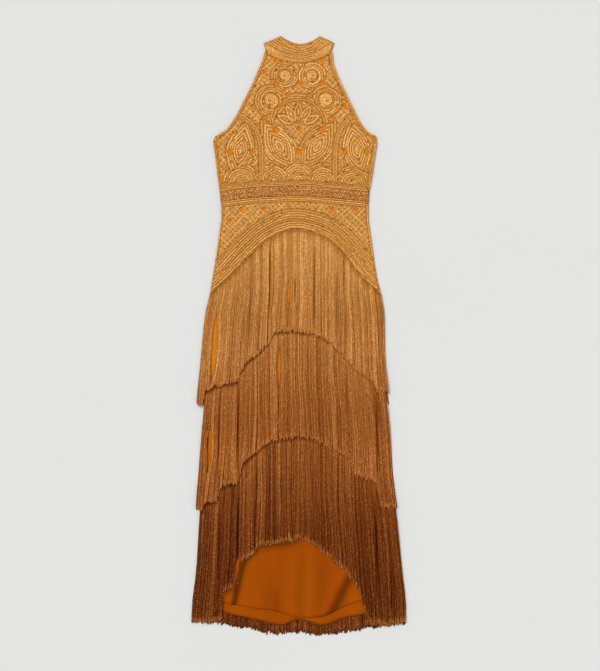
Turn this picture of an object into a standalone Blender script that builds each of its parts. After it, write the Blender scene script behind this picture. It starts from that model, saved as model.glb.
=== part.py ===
"""A sleeveless maxi dress, lying flat and face up.

A halter collar, a corded lace bodice, a braided waistband, a corded hip yoke
with an arched lower edge, three tiers of fringe and a plain slip lining.
+X is to the right of the dress as it is looked at, +Y runs up to the neck and
+Z up from the floor. All sizes below are in millimetres.
"""
import math
import random

import bpy
import numpy as np
from mathutils import Vector
from mathutils.geometry import delaunay_2d_cdt

MM = 0.001

# Wall thicknesses and the gap between pieces that touch
GAP = 0.3
LACE = 2.0
LOCK = 2.0
LINING = 1.0
BAND = 2.6
RIB = 0.9

# Heights of the undersides, each layer lying on the one below
BACK_LEVEL = 0.0
LINING_BACK_LEVEL = BACK_LEVEL + LACE + GAP
LINING_FRONT_LEVEL = LINING_BACK_LEVEL + LINING + GAP
FRONT_LEVEL = LINING_FRONT_LEVEL + LINING + GAP
OVERLAP_RISE = LOCK + GAP

# Below RISE_START the slip climbs over the heading of the second back tier
RISE_START = -92.0
RISE_END = -140.0

# Outline of bodice and yoke: height, left edge, right edge
BODY = (
    (698.9, -81.1, 81.3),
    (684.0, -85.8, 82.8),
    (664.0, -92.6, 85.3),
    (625.0, -109.3, 100.5),
    (586.0, -128.1, 119.1),
    (547.0, -147.7, 137.7),
    (517.6, -165.6, 153.4),
    (502.9, -177.9, 165.1),
    (493.1, -192.6, 177.4),
    (485.7, -204.8, 190.6),
    (473.5, -209.2, 191.6),
    (449.0, -205.3, 187.7),
    (400.0, -199.9, 180.3),
    (355.0, -193.8, 173.0),
    (322.0, -190.1, 170.8),
    (282.0, -190.1, 170.8),
    (253.0, -194.3, 174.9),
    (213.8, -199.9, 180.6),
    (174.6, -205.3, 185.7),
    (135.4, -211.7, 192.6),
    (102.0, -217.1, 201.4),
)

# Lower edge of the front yoke, from which the first tier hangs: across, height
ARCH = (
    (-217.1, 102.0), (-173.0, 140.0), (-143.6, 172.0), (-109.3, 206.4), (-73.7, 237.0),
    (-36.0, 255.0), (-4.0, 260.3), (28.0, 254.5), (50.0, 247.5), (76.9, 233.4),
    (106.3, 206.4), (135.7, 167.5), (165.1, 133.0), (201.4, 102.0),
)
# Lower edge of the back yoke, plain because it can't be seen
BACK_ARCH = ((-217.1, 102.0), (-120.0, 94.0), (-8.0, 90.0), (110.0, 94.0), (201.4, 102.0))

# Seams above and below the waistband: across, height
WAIST_TOP = ((-193.8, 355.0), (-143.6, 363.0), (-90.6, 368.0), (-8.8, 370.6), (89.2, 364.2), (173.0, 355.0))
WAIST_BOTTOM = ((-190.1, 322.0), (-143.6, 328.5), (-90.6, 333.3), (3.4, 336.3), (89.2, 329.9), (170.8, 322.0))

# Princess seams of the bodice, waist to armhole: height, left seam, right seam
PRINCESS = (
    (440.0, -91.0, 90.0),
    (480.0, -95.0, 94.0),
    (508.0, -108.0, 105.0),
    (528.0, -128.0, 122.0),
)
PRINCESS_TOP = 541.0
PRINCESS_WAIST = (-90.6, 89.2)

# Collar: half width and depth of the neck seam, corners, peaks and dips of its edges
NECK_HALF = 81.0
NECK_LOW = 673.0
NECK_RISE = 25.9
COLLAR_CORNER_LEFT = (-86.2, 714.5)
COLLAR_CORNER_RIGHT = (87.2, 716.0)
COLLAR_PEAK_LEFT = (-42.6, 732.6)
COLLAR_PEAK_RIGHT = (51.9, 732.6)
COLLAR_FRONT_DIP = 701.3
COLLAR_BACK_DIP = 714.0
COLLAR_BACK_SEAM_DIP = 688.0
COLLAR_BACK_SEAM_ENDS = 698.9
COLLAR_ROWS = 5
COLLAR_ROW_REACH = 0.93
# How flat the dip of the collar's upper edge is, and the slope of its front towards that edge
COLLAR_DIP_POWER = 1.8
COLLAR_FRONT_DROP = 2.2
COLLAR_SLOPE_RUN = 26.0

# Waistband: how far across it its cords and hollows run, as share of its width and lift
BAND_ROWS = ((0.06, 0.0), (0.16, RIB), (0.28, 0.0), (0.5, 0.5), (0.72, 0.0), (0.84, RIB), (0.94, 0.0))
BAND_ROW_ENDS = (-186.0, 167.0)

# Corded rows that follow the arch of the yoke
YOKE_ROWS = 8
ROW_PITCH = 5.8
FIRST_ROW = 1.6
ROW_MARGIN = 3.0

# The lining stops this far short of the outer pieces, at the skirt and at the bodice
LINING_SHORT = 4.0
LINING_BODICE_SHORT = 3.0
CREASE_SHORT = 0.6

# Sides of the skirt lining: height, left edge, right edge
SLIP_SIDES = (
    (102.0, -213.0, 197.0),
    (RISE_START, -216.0, 207.0),
    (RISE_END, -217.0, 209.0),
    (-318.0, -222.0, 214.0),
    (-560.0, -227.0, 224.0),
)
# Hems of the slip from left to right: across, height
SLIP_FRONT_HEM = (
    (-230.0, -640.0), (-178.0, -655.0), (-146.0, -661.0), (-102.0, -669.0), (-60.0, -674.0),
    (-18.0, -687.0), (33.0, -690.5), (77.0, -680.0), (122.0, -659.0), (175.0, -646.0), (229.0, -640.0),
)
SLIP_BACK_HEM = (
    (-230.0, -662.0), (-163.0, -682.0), (-112.0, -692.5), (-43.0, -707.5), (1.0, -694.0),
    (60.0, -707.5), (111.0, -690.5), (160.0, -681.5), (229.0, -664.0),
)

# Sides of each tier as it falls: height, left edge, right edge
TIER_SIDES = (
    ((103.0, -216.0, 201.0), (58.0, -228.5, 208.5), (-88.0, -241.0, 214.0), (-170.0, -250.5, 222.0)),
    ((-110.0, -226.0, 205.0), (-170.0, -232.0, 217.0), (-250.0, -237.0, 225.0), (-355.0, -246.0, 232.0),
     (-425.0, -253.5, 239.5)),
    ((-385.0, -236.0, 232.0), (-433.0, -241.5, 238.5), (-560.0, -249.0, 251.0), (-650.0, -258.5, 260.5),
     (-702.0, -262.0, 262.5)),
)
# Headings of the second and third front tiers: across, height
FRONT_HEADINGS = (
    None,
    ((-230.0, -128.0), (-200.0, -98.0), (-150.0, -78.0), (-126.0, -42.0), (-95.0, -16.0), (-65.0, 12.0),
     (-30.0, 31.0), (10.0, 33.0), (50.0, 22.0), (80.0, 2.0), (114.0, -30.0), (143.0, -62.0),
     (182.0, -92.0), (212.0, -112.0)),
    ((-240.0, -388.0), (-215.0, -368.0), (-190.0, -340.0), (-150.0, -312.0), (-130.0, -280.0),
     (-87.0, -243.0), (-60.0, -231.0), (0.0, -222.0), (45.0, -230.0), (93.0, -256.0), (125.0, -278.0),
     (153.0, -318.0), (190.0, -335.0), (235.0, -385.0)),
)
# Where the locks of each front tier end: across, height; a near-upright pair is a parting
FRONT_TIPS = (
    ((-250.0, -165.0), (-232.0, -168.0), (-228.0, -137.0), (-200.0, -122.0), (-147.0, -112.0),
     (-144.0, -92.0), (-126.0, -65.0), (-95.0, -39.0), (-72.0, -14.0), (-60.0, 10.0), (-11.0, 13.0),
     (38.0, 5.0), (72.0, -14.0), (114.0, -54.0), (143.0, -88.0), (182.0, -114.0), (192.0, -135.0),
     (222.0, -138.0)),
    ((-253.0, -421.0), (-234.0, -426.0), (-227.0, -406.0), (-195.0, -402.0), (-192.0, -369.0),
     (-148.0, -357.0), (-136.0, -313.0), (-87.0, -269.0), (-67.0, -255.0), (6.0, -245.0), (45.0, -254.0),
     (93.0, -280.0), (125.0, -300.0), (133.0, -330.0), (153.0, -346.0), (189.0, -356.0), (194.0, -416.0),
     (240.0, -418.0)),
    ((-262.0, -695.0), (-242.0, -699.0), (-212.0, -701.0), (-185.0, -688.0), (-181.0, -624.0),
     (-149.0, -604.0), (-143.0, -549.0), (-119.0, -537.0), (-90.0, -510.0), (-21.0, -502.0), (11.0, -494.0),
     (41.0, -514.0), (79.0, -543.0), (111.0, -575.0), (137.0, -607.0), (150.0, -632.0), (154.0, -662.0),
     (168.0, -682.0), (171.0, -702.0), (224.0, -707.0), (262.0, -699.0)),
)
BACK_HEADINGS = (
    BACK_ARCH,
    ((-230.0, -148.0), (0.0, -160.0), (216.0, -148.0)),
    ((-240.0, -400.0), (0.0, -412.0), (236.0, -400.0)),
)
BACK_TIPS = (
    ((-250.0, -165.0), (0.0, -182.0), (222.0, -165.0)),
    ((-253.0, -421.0), (0.0, -436.0), (240.0, -421.0)),
    ((-262.0, -696.0), (-183.0, -704.0), (-129.0, -714.0), (-73.0, -726.0), (-43.0, -728.0), (2.0, -722.0),
     (43.0, -730.8), (77.0, -728.0), (128.0, -721.0), (170.0, -714.0), (262.0, -701.0)),
)
LOCKS_A_TIER = 41
LOCK_GAP = 1.0
TIP_GAP = 2.2
TIP_THICKNESS = 1.6
TIP_JITTER = 3.0
HEADING_WIDTH = 8.0
HEADING_GAP = 0.7
HEADING_PASSES = 12
RISE_AHEAD = (34.0, 13.0)
BACK_DROP = (18.0, 48.0)
SHORTEST_STEP = 3.0
SHORTEST_LOCK = 30.0
# Past the slip's hem the front fringe falls towards the back fringe
SLIP_CLEAR = 4.0
HEM_DROP = 4.0
HEM_DROP_RUN = 34.0

# Cut lace: pitch of the trellis, half diagonal of its gaps, and every how many crossings one is
FRONT_TRELLIS = (14.0, 7.0, 4)
BACK_TRELLIS = (26.0, 8.0, 2)
YOKE_TRELLIS = (14.0, 7.0, 4)
EDGE_MARGIN = 5.0
MOTIF_MARGIN = 4.0

# Raised motifs of the bodice, worked symmetrically about the centre front
FAN_FEET_X = (-140.0, -60.0, 0.0, 60.0, 131.0)
FAN_RADII = (8.0, 16.0, 24.0)
FAN_HOLLOW = 3.2
FAN_TURN = (0.04, 0.92)
BIG_LEAF = (46.0, 462.0, 78.0, 17.0, 34.0)
SIDE_LEAF = (142.0, 452.0, 62.0, 14.0, -12.0)
SCROLLS = ((68.0, 574.0, 17.0), (34.0, 634.0, 13.0))
PALMETTE_FOOT = (0.0, 512.0)
PALMETTE_ANGLES = (-64.0, -32.0, 0.0, 32.0, 64.0)
PALMETTE_LEAF = (42.0, 7.5)
PALMETTE_SPREAD = 0.82
LEAF_RINGS = ((1.0, 0.0), (0.82, RIB), (0.55, 0.0))
LEAF_MIDRIB = (0.18, 0.72)
SCROLL_START = 0.16
SCROLL_TURNS = 1.75

# Finishes: colour, roughness, metallic value
FINISHES = {
    "lace": ((0.53, 0.27, 0.07, 1.0), 0.55, 0.15),
    "band": ((0.33, 0.17, 0.07, 1.0), 0.45, 0.25),
    "lining": ((0.42, 0.14, 0.015, 1.0), 0.45, 0.0),
    "fringe_light": ((0.48, 0.23, 0.055, 1.0), 0.5, 0.15),
    "fringe_mid": ((0.34, 0.14, 0.03, 1.0), 0.5, 0.15),
    "fringe_dark": ((0.2, 0.07, 0.013, 1.0), 0.5, 0.15),
}


def clear_scene():
    """Remove whatever the file holds."""
    for item in list(bpy.data.objects):
        bpy.data.objects.remove(item, do_unlink=True)


def finish(name):
    """Return the material of one finish, made once."""
    known = bpy.data.materials.get(name)
    if known is not None:
        return known
    colour, roughness, metallic = FINISHES[name]
    material = bpy.data.materials.new(name)
    material.use_nodes = True
    shader = material.node_tree.nodes["Principled BSDF"]
    shader.inputs["Base Color"].default_value = colour
    shader.inputs["Roughness"].default_value = roughness
    shader.inputs["Metallic"].default_value = metallic
    return material


def add_piece(name, points, faces, finish_name):
    """Make one sub-part from points in millimetres and faces that point out."""
    mesh = bpy.data.meshes.new(name)
    mesh.from_pydata([(x * MM, y * MM, z * MM) for x, y, z in points], [], faces)
    mesh.validate()
    piece = bpy.data.objects.new(name, mesh)
    bpy.context.collection.objects.link(piece)
    mesh.materials.append(finish(finish_name))
    return piece


def through(points, per_span=4):
    """Return a smooth open line through the points, a cubic on each span."""
    ends = [points[0]] + list(points) + [points[-1]]
    line = []
    for k in range(1, len(ends) - 2):
        before, here, there, after = (Vector(p) for p in ends[k - 1:k + 3])
        for step in range(per_span):
            t = step / per_span
            place = 0.5 * (2 * here + (there - before) * t
                           + (2 * before - 5 * here + 4 * there - after) * t * t
                           + (3 * here - before - 3 * there + after) * t ** 3)
            line.append((place.x, place.y))
    return line + [tuple(points[-1])]


def height_on(points):
    """Return the height of a line as a function of the place across."""
    across = np.array([p[0] for p in points])
    up = np.array([p[1] for p in points])
    return lambda x: float(np.interp(x, across, up))


def sides_of(rows):
    """Return the left and right edges as functions of height."""
    up = np.array([row[0] for row in rows])[::-1]
    left = np.array([row[1] for row in rows])[::-1]
    right = np.array([row[2] for row in rows])[::-1]
    return (lambda y: float(np.interp(y, up, left))), (lambda y: float(np.interp(y, up, right)))


def stretch(line, low, high):
    """Return the points of a left-to-right line from one place across to another."""
    height = height_on(line)
    inner = [p for p in line if low + 1.0 < p[0] < high - 1.0]
    return [(low, height(low))] + inner + [(high, height(high))]


def edge_rows(side, top, bottom):
    """Return the body's edge points between two heights, top first; side is 1 or 2."""
    edge = sides_of(BODY)[side - 1]
    inner = [(row[side], row[0]) for row in BODY if bottom + 1.0 < row[0] < top - 1.0]
    return [(edge(top), top)] + inner + [(edge(bottom), bottom)]


def turned_left(loop):
    """Return the loop turned so that it runs anticlockwise."""
    area = sum(a[0] * b[1] - b[0] * a[1] for a, b in zip(loop, loop[1:] + loop[:1]))
    return loop if area > 0 else loop[::-1]


def inset(loop, distance):
    """Move each point of an anticlockwise loop inwards by the distance."""
    moved = []
    count = len(loop)
    for k in range(count):
        here = Vector(loop[k])
        before = (here - Vector(loop[k - 1])).normalized()
        after = (Vector(loop[(k + 1) % count]) - here).normalized()
        inward = Vector((-before.y - after.y, before.x + after.x)).normalized()
        lean = max(0.5, inward.dot(Vector((-before.y, before.x))))
        place = here + inward * distance / lean
        moved.append((place.x, place.y))
    return moved


def net(loops, lines):
    """Return points, triangles and each loop point's index for loops[0] less the others."""
    points = []
    faces = []
    edges = []
    for loop in loops:
        faces.append(list(range(len(points), len(points) + len(loop))))
        points += loop
    for line in lines:
        edges += [(len(points) + k, len(points) + k + 1) for k in range(len(line) - 1)]
        points += line
    made = delaunay_2d_cdt([Vector(p[:2]) for p in points], edges, faces, 1, 1e-6)
    places, triangles, from_points, from_faces = made[0], made[2], made[3], made[5]
    kept = [tri for tri, origin in zip(triangles, from_faces) if list(origin) == [0]]
    index = {old: new for new, olds in enumerate(from_points) for old in olds}
    extra = [0.0] * len(places)
    for old, new in index.items():
        if len(points[old]) > 2:
            extra[new] = points[old][2]
    rings = [[index[old] for old in face] for face in faces]
    return [tuple(p) for p in places], kept, rings, extra


def wall(name, outline, finish_name, level, thickness, holes=(), ribs=(), creases=()):
    """Make a closed wall over an outline, cut through at the holes.

    level gives the underside's height at a point, ribs are lines of points
    whose third number is how far the upper side stands up there, and creases
    are lines where both sides bend.
    """
    loops = [inset(turned_left(list(outline)), GAP / 2)]
    loops += [turned_left(list(hole)) for hole in holes]
    creases = [list(line) for line in creases]
    low_points, low_faces, low_rings, _ = net(loops, creases)
    top_points, top_faces, top_rings, raised = net(loops, creases + [list(rib) for rib in ribs])
    points = [(x, y, level(x, y)) for x, y in low_points]
    shift = len(points)
    points += [(x, y, level(x, y) + thickness + up) for (x, y), up in zip(top_points, raised)]
    faces = [tuple(reversed(face)) for face in low_faces]
    faces += [tuple(k + shift for k in face) for face in top_faces]
    for number, (low_ring, top_ring) in enumerate(zip(low_rings, top_rings)):
        count = len(low_ring)
        for k in range(count):
            after = (k + 1) % count
            side = (low_ring[k], low_ring[after], top_ring[after] + shift, top_ring[k] + shift)
            faces.append(side if number == 0 else side[::-1])
    return add_piece(name, points, faces, finish_name)


def distance_to(points):
    """Return a function giving how far a place is from the nearest of the points."""
    cloud = np.array([p[:2] for p in points])
    return lambda x, y: float(np.min(np.hypot(cloud[:, 0] - x, cloud[:, 1] - y)))


def filled_line(line, closed=True, step=3.0):
    """Return a line's points with more of them between, no further apart than step."""
    places = []
    ends = list(line[1:]) + [line[0] if closed else line[-1]]
    for a, b in zip(line, ends):
        count = max(1, int(math.dist(a[:2], b[:2]) / step))
        places += [(a[0] + (b[0] - a[0]) * k / count, a[1] + (b[1] - a[1]) * k / count)
                   for k in range(count)]
    return places


def inside(loop, x, y):
    """Tell whether a place lies inside a loop, by counting the edges to its right."""
    crossed = False
    for (ax, ay), (bx, by) in zip(loop, loop[1:] + loop[:1]):
        if (ay > y) != (by > y) and x < ax + (y - ay) * (bx - ax) / (by - ay):
            crossed = not crossed
    return crossed


def trellis_gaps(outline, trellis, motifs=()):
    """Return the diamond gaps of a slanting trellis that fit clear of edge and motifs."""
    pitch, half, every = trellis
    from_edge = distance_to(filled_line(outline))
    motif_points = [p for line in motifs for p in filled_line(line, closed=False)]
    from_motif = distance_to(motif_points) if motif_points else None
    low = np.floor(np.min(outline, axis=0) / pitch).astype(int)
    high = np.ceil(np.max(outline, axis=0) / pitch).astype(int)
    gaps = []
    for row in range(low[1], high[1] + 1):
        for column in range(low[0], high[0] + 1):
            x, y = column * pitch, row * pitch
            if (row + column) % every or (row - column) % every or not inside(outline, x, y):
                continue
            if from_edge(x, y) < half + EDGE_MARGIN:
                continue
            if from_motif is not None and from_motif(x, y) < half + MOTIF_MARGIN:
                continue
            gaps.append([(x - half, y), (x, y - half), (x + half, y), (x, y + half)])
    return gaps


def fan_rows(foot_x, foot_y):
    """Return the rows of a scallop fan: half rings, high and low by turns."""
    rows = []
    for number, radius in enumerate(FAN_RADII):
        points = 5 + 2 * number
        for shift, up in ((0.0, RIB), (FAN_HOLLOW, 0.0)):
            reach = radius + shift
            turns = [math.pi * (FAN_TURN[0] + FAN_TURN[1] * k / (points - 1)) for k in range(points)]
            rows.append([(foot_x + reach * math.cos(a), foot_y + reach * math.sin(a), up) for a in turns])
    return rows


def leaf_rows(centre, length, half_width, tilt, points=6):
    """Return the rows of a pointed leaf about its centre: rim, cord, hollow and midrib."""
    turn = math.radians(tilt)
    rows = []
    for size, up in LEAF_RINGS:
        halves = []
        for side in (1, -1):
            for k in range(points):
                t = k / points
                along = (t - 0.5) * length * size * side
                out = math.sin(math.pi * t) * half_width * size * side
                halves.append((along, out))
        loop = [(centre[0] + out * math.cos(turn) + along * math.sin(turn),
                 centre[1] - out * math.sin(turn) + along * math.cos(turn), up) for along, out in halves]
        rows.append(loop + loop[:1])
    half_rib, up = LEAF_MIDRIB[0] * length, LEAF_MIDRIB[1]
    rows.append([(centre[0] + t * half_rib * math.sin(turn), centre[1] + t * half_rib * math.cos(turn), up)
                 for t in (-1, 0, 1)])
    return rows


def scroll_rows(centre, radius, hand, points=20):
    """Return the rows of a rolled scroll: the cord, and the hollow beside it."""
    rows = []
    for shift, up in ((0.0, RIB), (0.5 * radius / SCROLL_TURNS, 0.0)):
        row = []
        for k in range(points + 1):
            t = k / points
            angle = 2 * math.pi * SCROLL_TURNS * t
            reach = (SCROLL_START + (1.0 - SCROLL_START) * t) * radius + (shift if k else 0.0)
            row.append((centre[0] + hand * reach * math.cos(angle), centre[1] + reach * math.sin(angle), up))
        rows.append(row)
    return rows


def palmette_rows():
    """Return the rows of a spray of five small leaves: each one's rim and midrib."""
    length, half_width = PALMETTE_LEAF
    rows = []
    for tilt in PALMETTE_ANGLES:
        turn = math.radians(tilt)
        reach = PALMETTE_SPREAD * length
        centre = (PALMETTE_FOOT[0] + reach * math.sin(turn), PALMETTE_FOOT[1] + reach * math.cos(turn))
        leaf = leaf_rows(centre, length, half_width, tilt, points=4)
        rows += [leaf[0], leaf[3]]
    return rows


def bodice_motifs(waist_height):
    """Return every raised row of the front bodice, with the panel that it lies on."""
    centre = []
    left = []
    right = []
    for foot in FAN_FEET_X:
        panel = left if foot < PRINCESS_WAIST[0] else right if foot > PRINCESS_WAIST[1] else centre
        panel += fan_rows(foot, waist_height(foot) + EDGE_MARGIN)
    for hand in (-1, 1):
        x, y, length, half_width, tilt = BIG_LEAF
        centre += leaf_rows((hand * x, y), length, half_width, hand * tilt)
        x, y, length, half_width, tilt = SIDE_LEAF
        side = left if hand < 0 else right
        side += leaf_rows((hand * x, y), length, half_width, hand * tilt)
        for x, y, radius in SCROLLS:
            centre += scroll_rows((hand * x, y), radius, hand)
    centre += palmette_rows()
    return centre, left, right


def neck_seam():
    """Return the seam between front bodice and collar: a shallow arc of a parabola."""
    places = [NECK_HALF * k / 6 for k in range(-6, 7)]
    return [(x, NECK_LOW + NECK_RISE * (x / NECK_HALF) ** 2) for x in places]


def flat(height):
    """Return a level surface at one height."""
    return lambda x, y: height


def slip_rise(y):
    """How far the slip, and what lies on it, has climbed at this height of the dress."""
    share = (RISE_START - y) / (RISE_START - RISE_END)
    return OVERLAP_RISE * min(1.0, max(0.0, share))


def make_collar():
    """Make the two halves of the stand collar, the front one lying on the back one."""
    middle = (COLLAR_PEAK_LEFT[0] + COLLAR_PEAK_RIGHT[0]) / 2
    half = (COLLAR_PEAK_RIGHT[0] - COLLAR_PEAK_LEFT[0]) / 2
    peak = COLLAR_PEAK_LEFT[1]
    seam = neck_seam()

    def top_edge(dip):
        return [(middle + half * t, dip + (peak - dip) * abs(t) ** COLLAR_DIP_POWER)
                for t in np.linspace(-1, 1, 13)]

    def front_level(x, y):
        share = (y - NECK_LOW - NECK_RISE * (x / NECK_HALF) ** 2) / COLLAR_SLOPE_RUN
        return FRONT_LEVEL - COLLAR_FRONT_DROP * min(1.0, max(0.0, share))

    front_top = top_edge(COLLAR_FRONT_DIP)
    outline = seam + [COLLAR_CORNER_RIGHT] + front_top[::-1] + [COLLAR_CORNER_LEFT]
    ribs = []
    for row in range(1, 2 * COLLAR_ROWS):
        share = row / (2 * COLLAR_ROWS)
        up = RIB if row % 2 else 0.0
        line = []
        for t in np.linspace(-COLLAR_ROW_REACH, COLLAR_ROW_REACH, 13):
            low = NECK_LOW + NECK_RISE * t * t
            high = COLLAR_FRONT_DIP + (peak - COLLAR_FRONT_DIP) * abs(t) ** COLLAR_DIP_POWER
            across = NECK_HALF * t * (1 - share) + (middle + half * t) * share
            line.append((across, low + (high - low) * share, up))
        ribs.append(line)
    wall("collar_front", outline, "lace", front_level, LACE, ribs=ribs)
    back_rise = (COLLAR_BACK_SEAM_ENDS - COLLAR_BACK_SEAM_DIP) / NECK_RISE
    back_seam = [(x, COLLAR_BACK_SEAM_DIP + (y - NECK_LOW) * back_rise) for x, y in seam]
    back_outline = back_seam + [COLLAR_CORNER_RIGHT] + top_edge(COLLAR_BACK_DIP)[::-1] + [COLLAR_CORNER_LEFT]
    wall("collar_back", back_outline, "lace", flat(BACK_LEVEL), LACE)
    return back_seam


def princess_seam(side):
    """Return a princess seam from armhole to waist; side is 1 for left and 2 for right."""
    edge = sides_of(BODY)[side - 1]
    waist = height_on(WAIST_TOP)
    foot = PRINCESS_WAIST[side - 1]
    rows = [(row[side], row[0]) for row in PRINCESS][::-1]
    return [(edge(PRINCESS_TOP), PRINCESS_TOP)] + rows + [(foot, waist(foot))]


def make_bodice(back_seam):
    """Make the lace panels: three in front with raised motifs, two behind."""
    waist_line = list(WAIST_TOP)
    waist_low = WAIST_TOP[0][1]
    centre_rows, left_rows, right_rows = bodice_motifs(height_on(WAIST_TOP))
    left_seam = princess_seam(1)
    right_seam = princess_seam(2)
    neck = neck_seam()
    top = BODY[0][0]
    centre = stretch(waist_line, *PRINCESS_WAIST)[1:-1] + right_seam[::-1]
    centre += edge_rows(2, top, PRINCESS_TOP)[::-1][1:-1] + neck[::-1]
    centre += edge_rows(1, top, PRINCESS_TOP)[1:-1] + left_seam
    left = stretch(waist_line, waist_line[0][0], PRINCESS_WAIST[0])[:-1] + left_seam[::-1]
    left += edge_rows(1, PRINCESS_TOP, waist_low)[1:-1]
    right = stretch(waist_line, PRINCESS_WAIST[1], waist_line[-1][0])[1:] + edge_rows(
        2, PRINCESS_TOP, waist_low)[::-1][1:-1] + right_seam
    for name, outline, rows in (("centre", centre, centre_rows), ("left", left, left_rows),
                                ("right", right, right_rows)):
        holes = trellis_gaps(outline, FRONT_TRELLIS, rows)
        wall("bodice_front_" + name, outline, "lace", flat(FRONT_LEVEL), LACE, holes, rows)
    for name, side in (("left", 1), ("right", 2)):
        part = [p for p in back_seam if (p[0] <= 0.0 if side == 1 else p[0] >= 0.0)]
        if side == 1:
            outline = stretch(waist_line, waist_line[0][0], 0.0) + part[::-1]
            outline += edge_rows(1, top, waist_low)[1:-1]
        else:
            outline = stretch(waist_line, 0.0, waist_line[-1][0])
            outline += edge_rows(2, top, waist_low)[::-1][1:-1] + part[::-1]
        holes = trellis_gaps(outline, BACK_TRELLIS)
        wall("bodice_back_" + name, outline, "lace", flat(BACK_LEVEL), LACE, holes)


def make_waistband():
    """Make the front and back of the waistband, each with a cord along both edges."""
    outline = list(WAIST_BOTTOM) + list(WAIST_TOP)[::-1]
    wall("waistband_back", outline, "band", flat(BACK_LEVEL), LACE)
    top = height_on(WAIST_TOP)
    bottom = height_on(WAIST_BOTTOM)
    ribs = []
    places = np.linspace(*BAND_ROW_ENDS, 11)
    for share, up in BAND_ROWS:
        ribs.append([(x, bottom(x) + (top(x) - bottom(x)) * share, up) for x in places])
    wall("waistband_front", outline, "band", flat(FRONT_LEVEL), BAND, ribs=ribs)


def yoke_ribs(arch, outline):
    """Return the corded rows that follow the arch, cut off short of the panel's edges."""
    ribs = []
    from_edge = distance_to(filled_line(outline))
    for row in range(2 * YOKE_ROWS + 1):
        off = FIRST_ROW + row * ROW_PITCH / 2
        up = RIB if row % 2 else 0.0
        line = []
        for k in range(1, len(arch) - 1):
            along = (Vector(arch[k + 1]) - Vector(arch[k - 1])).normalized()
            x, y = arch[k][0] - along.y * off, arch[k][1] + along.x * off
            if inside(outline, x, y) and (from_edge(x, y) > ROW_MARGIN or row == 0):
                line.append((x, y, up))
        ribs.append(line)
    return ribs


def make_yoke():
    """Make the hip yoke: corded rows along its arch and a cut trellis above them."""
    arch = through(ARCH, 2)
    top = WAIST_BOTTOM[0][1]
    bottom = BODY[-1][0]
    front = arch + edge_rows(2, top, bottom)[::-1][1:-1] + list(WAIST_BOTTOM)[::-1]
    front += edge_rows(1, top, bottom)[1:-1]
    ribs = yoke_ribs(arch, front)
    holes = trellis_gaps(front, YOKE_TRELLIS, ribs)
    wall("yoke_front", front, "lace", flat(FRONT_LEVEL), LACE, holes, ribs)
    back = list(BACK_ARCH) + edge_rows(2, top, bottom)[::-1][1:-1] + list(WAIST_BOTTOM)[::-1]
    back += edge_rows(1, top, bottom)[1:-1]
    wall("yoke_back", back, "lace", flat(BACK_LEVEL), LACE, trellis_gaps(back, BACK_TRELLIS))


def make_lining(back_seam):
    """Make the slip: bodice and skirt, front and back."""
    waist_low = WAIST_TOP[0][1]
    top = BODY[0][0]
    for name, level, neck in (("front", LINING_FRONT_LEVEL, neck_seam()),
                              ("back", LINING_BACK_LEVEL, back_seam)):
        outline = list(WAIST_TOP) + edge_rows(2, top, waist_low)[::-1][1:-1] + neck[::-1]
        outline += edge_rows(1, top, waist_low)[1:-1]
        outline = inset(turned_left(outline), LINING_BODICE_SHORT)
        wall("lining_bodice_" + name, outline, "lining", flat(level), LINING)
    for name, level, hem in (("front", LINING_FRONT_LEVEL, SLIP_FRONT_HEM),
                             ("back", LINING_BACK_LEVEL, SLIP_BACK_HEM)):
        left = [(row[1], row[0]) for row in SLIP_SIDES]
        right = [(row[2], row[0]) for row in SLIP_SIDES]
        waist = [(x, y - LINING_SHORT) for x, y in WAIST_TOP]
        waist[0] = (waist[0][0] + LINING_SHORT, waist[0][1])
        waist[-1] = (waist[-1][0] - LINING_SHORT, waist[-1][1])
        yoke_left = [(x + LINING_SHORT, y) for x, y in edge_rows(1, waist_low, BODY[-1][0])[1:-1]]
        yoke_right = [(x - LINING_SHORT, y) for x, y in edge_rows(2, waist_low, BODY[-1][0])[1:-1]]
        outline = through(hem, 2) + right[::-1] + yoke_right[::-1] + waist[::-1] + yoke_left + left
        creases = [[(left[k][0] + CREASE_SHORT, left[k][1]), (0.0, left[k][1]),
                    (right[k][0] - CREASE_SHORT, left[k][1])] for k in (1, 2)]
        wall("lining_skirt_" + name, outline, "lining", lambda x, y, base=level: base + slip_rise(y), LINING,
             creases=creases)


def lock_stops(top, tip, wanted):
    """Return the heights of a lock's sections from its heading down to its tip."""
    stops = [top]
    for stop in sorted(wanted, reverse=True):
        if stops[-1] - stop >= SHORTEST_STEP and stop - tip >= SHORTEST_STEP:
            stops.append(stop)
    return stops + [tip]


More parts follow.
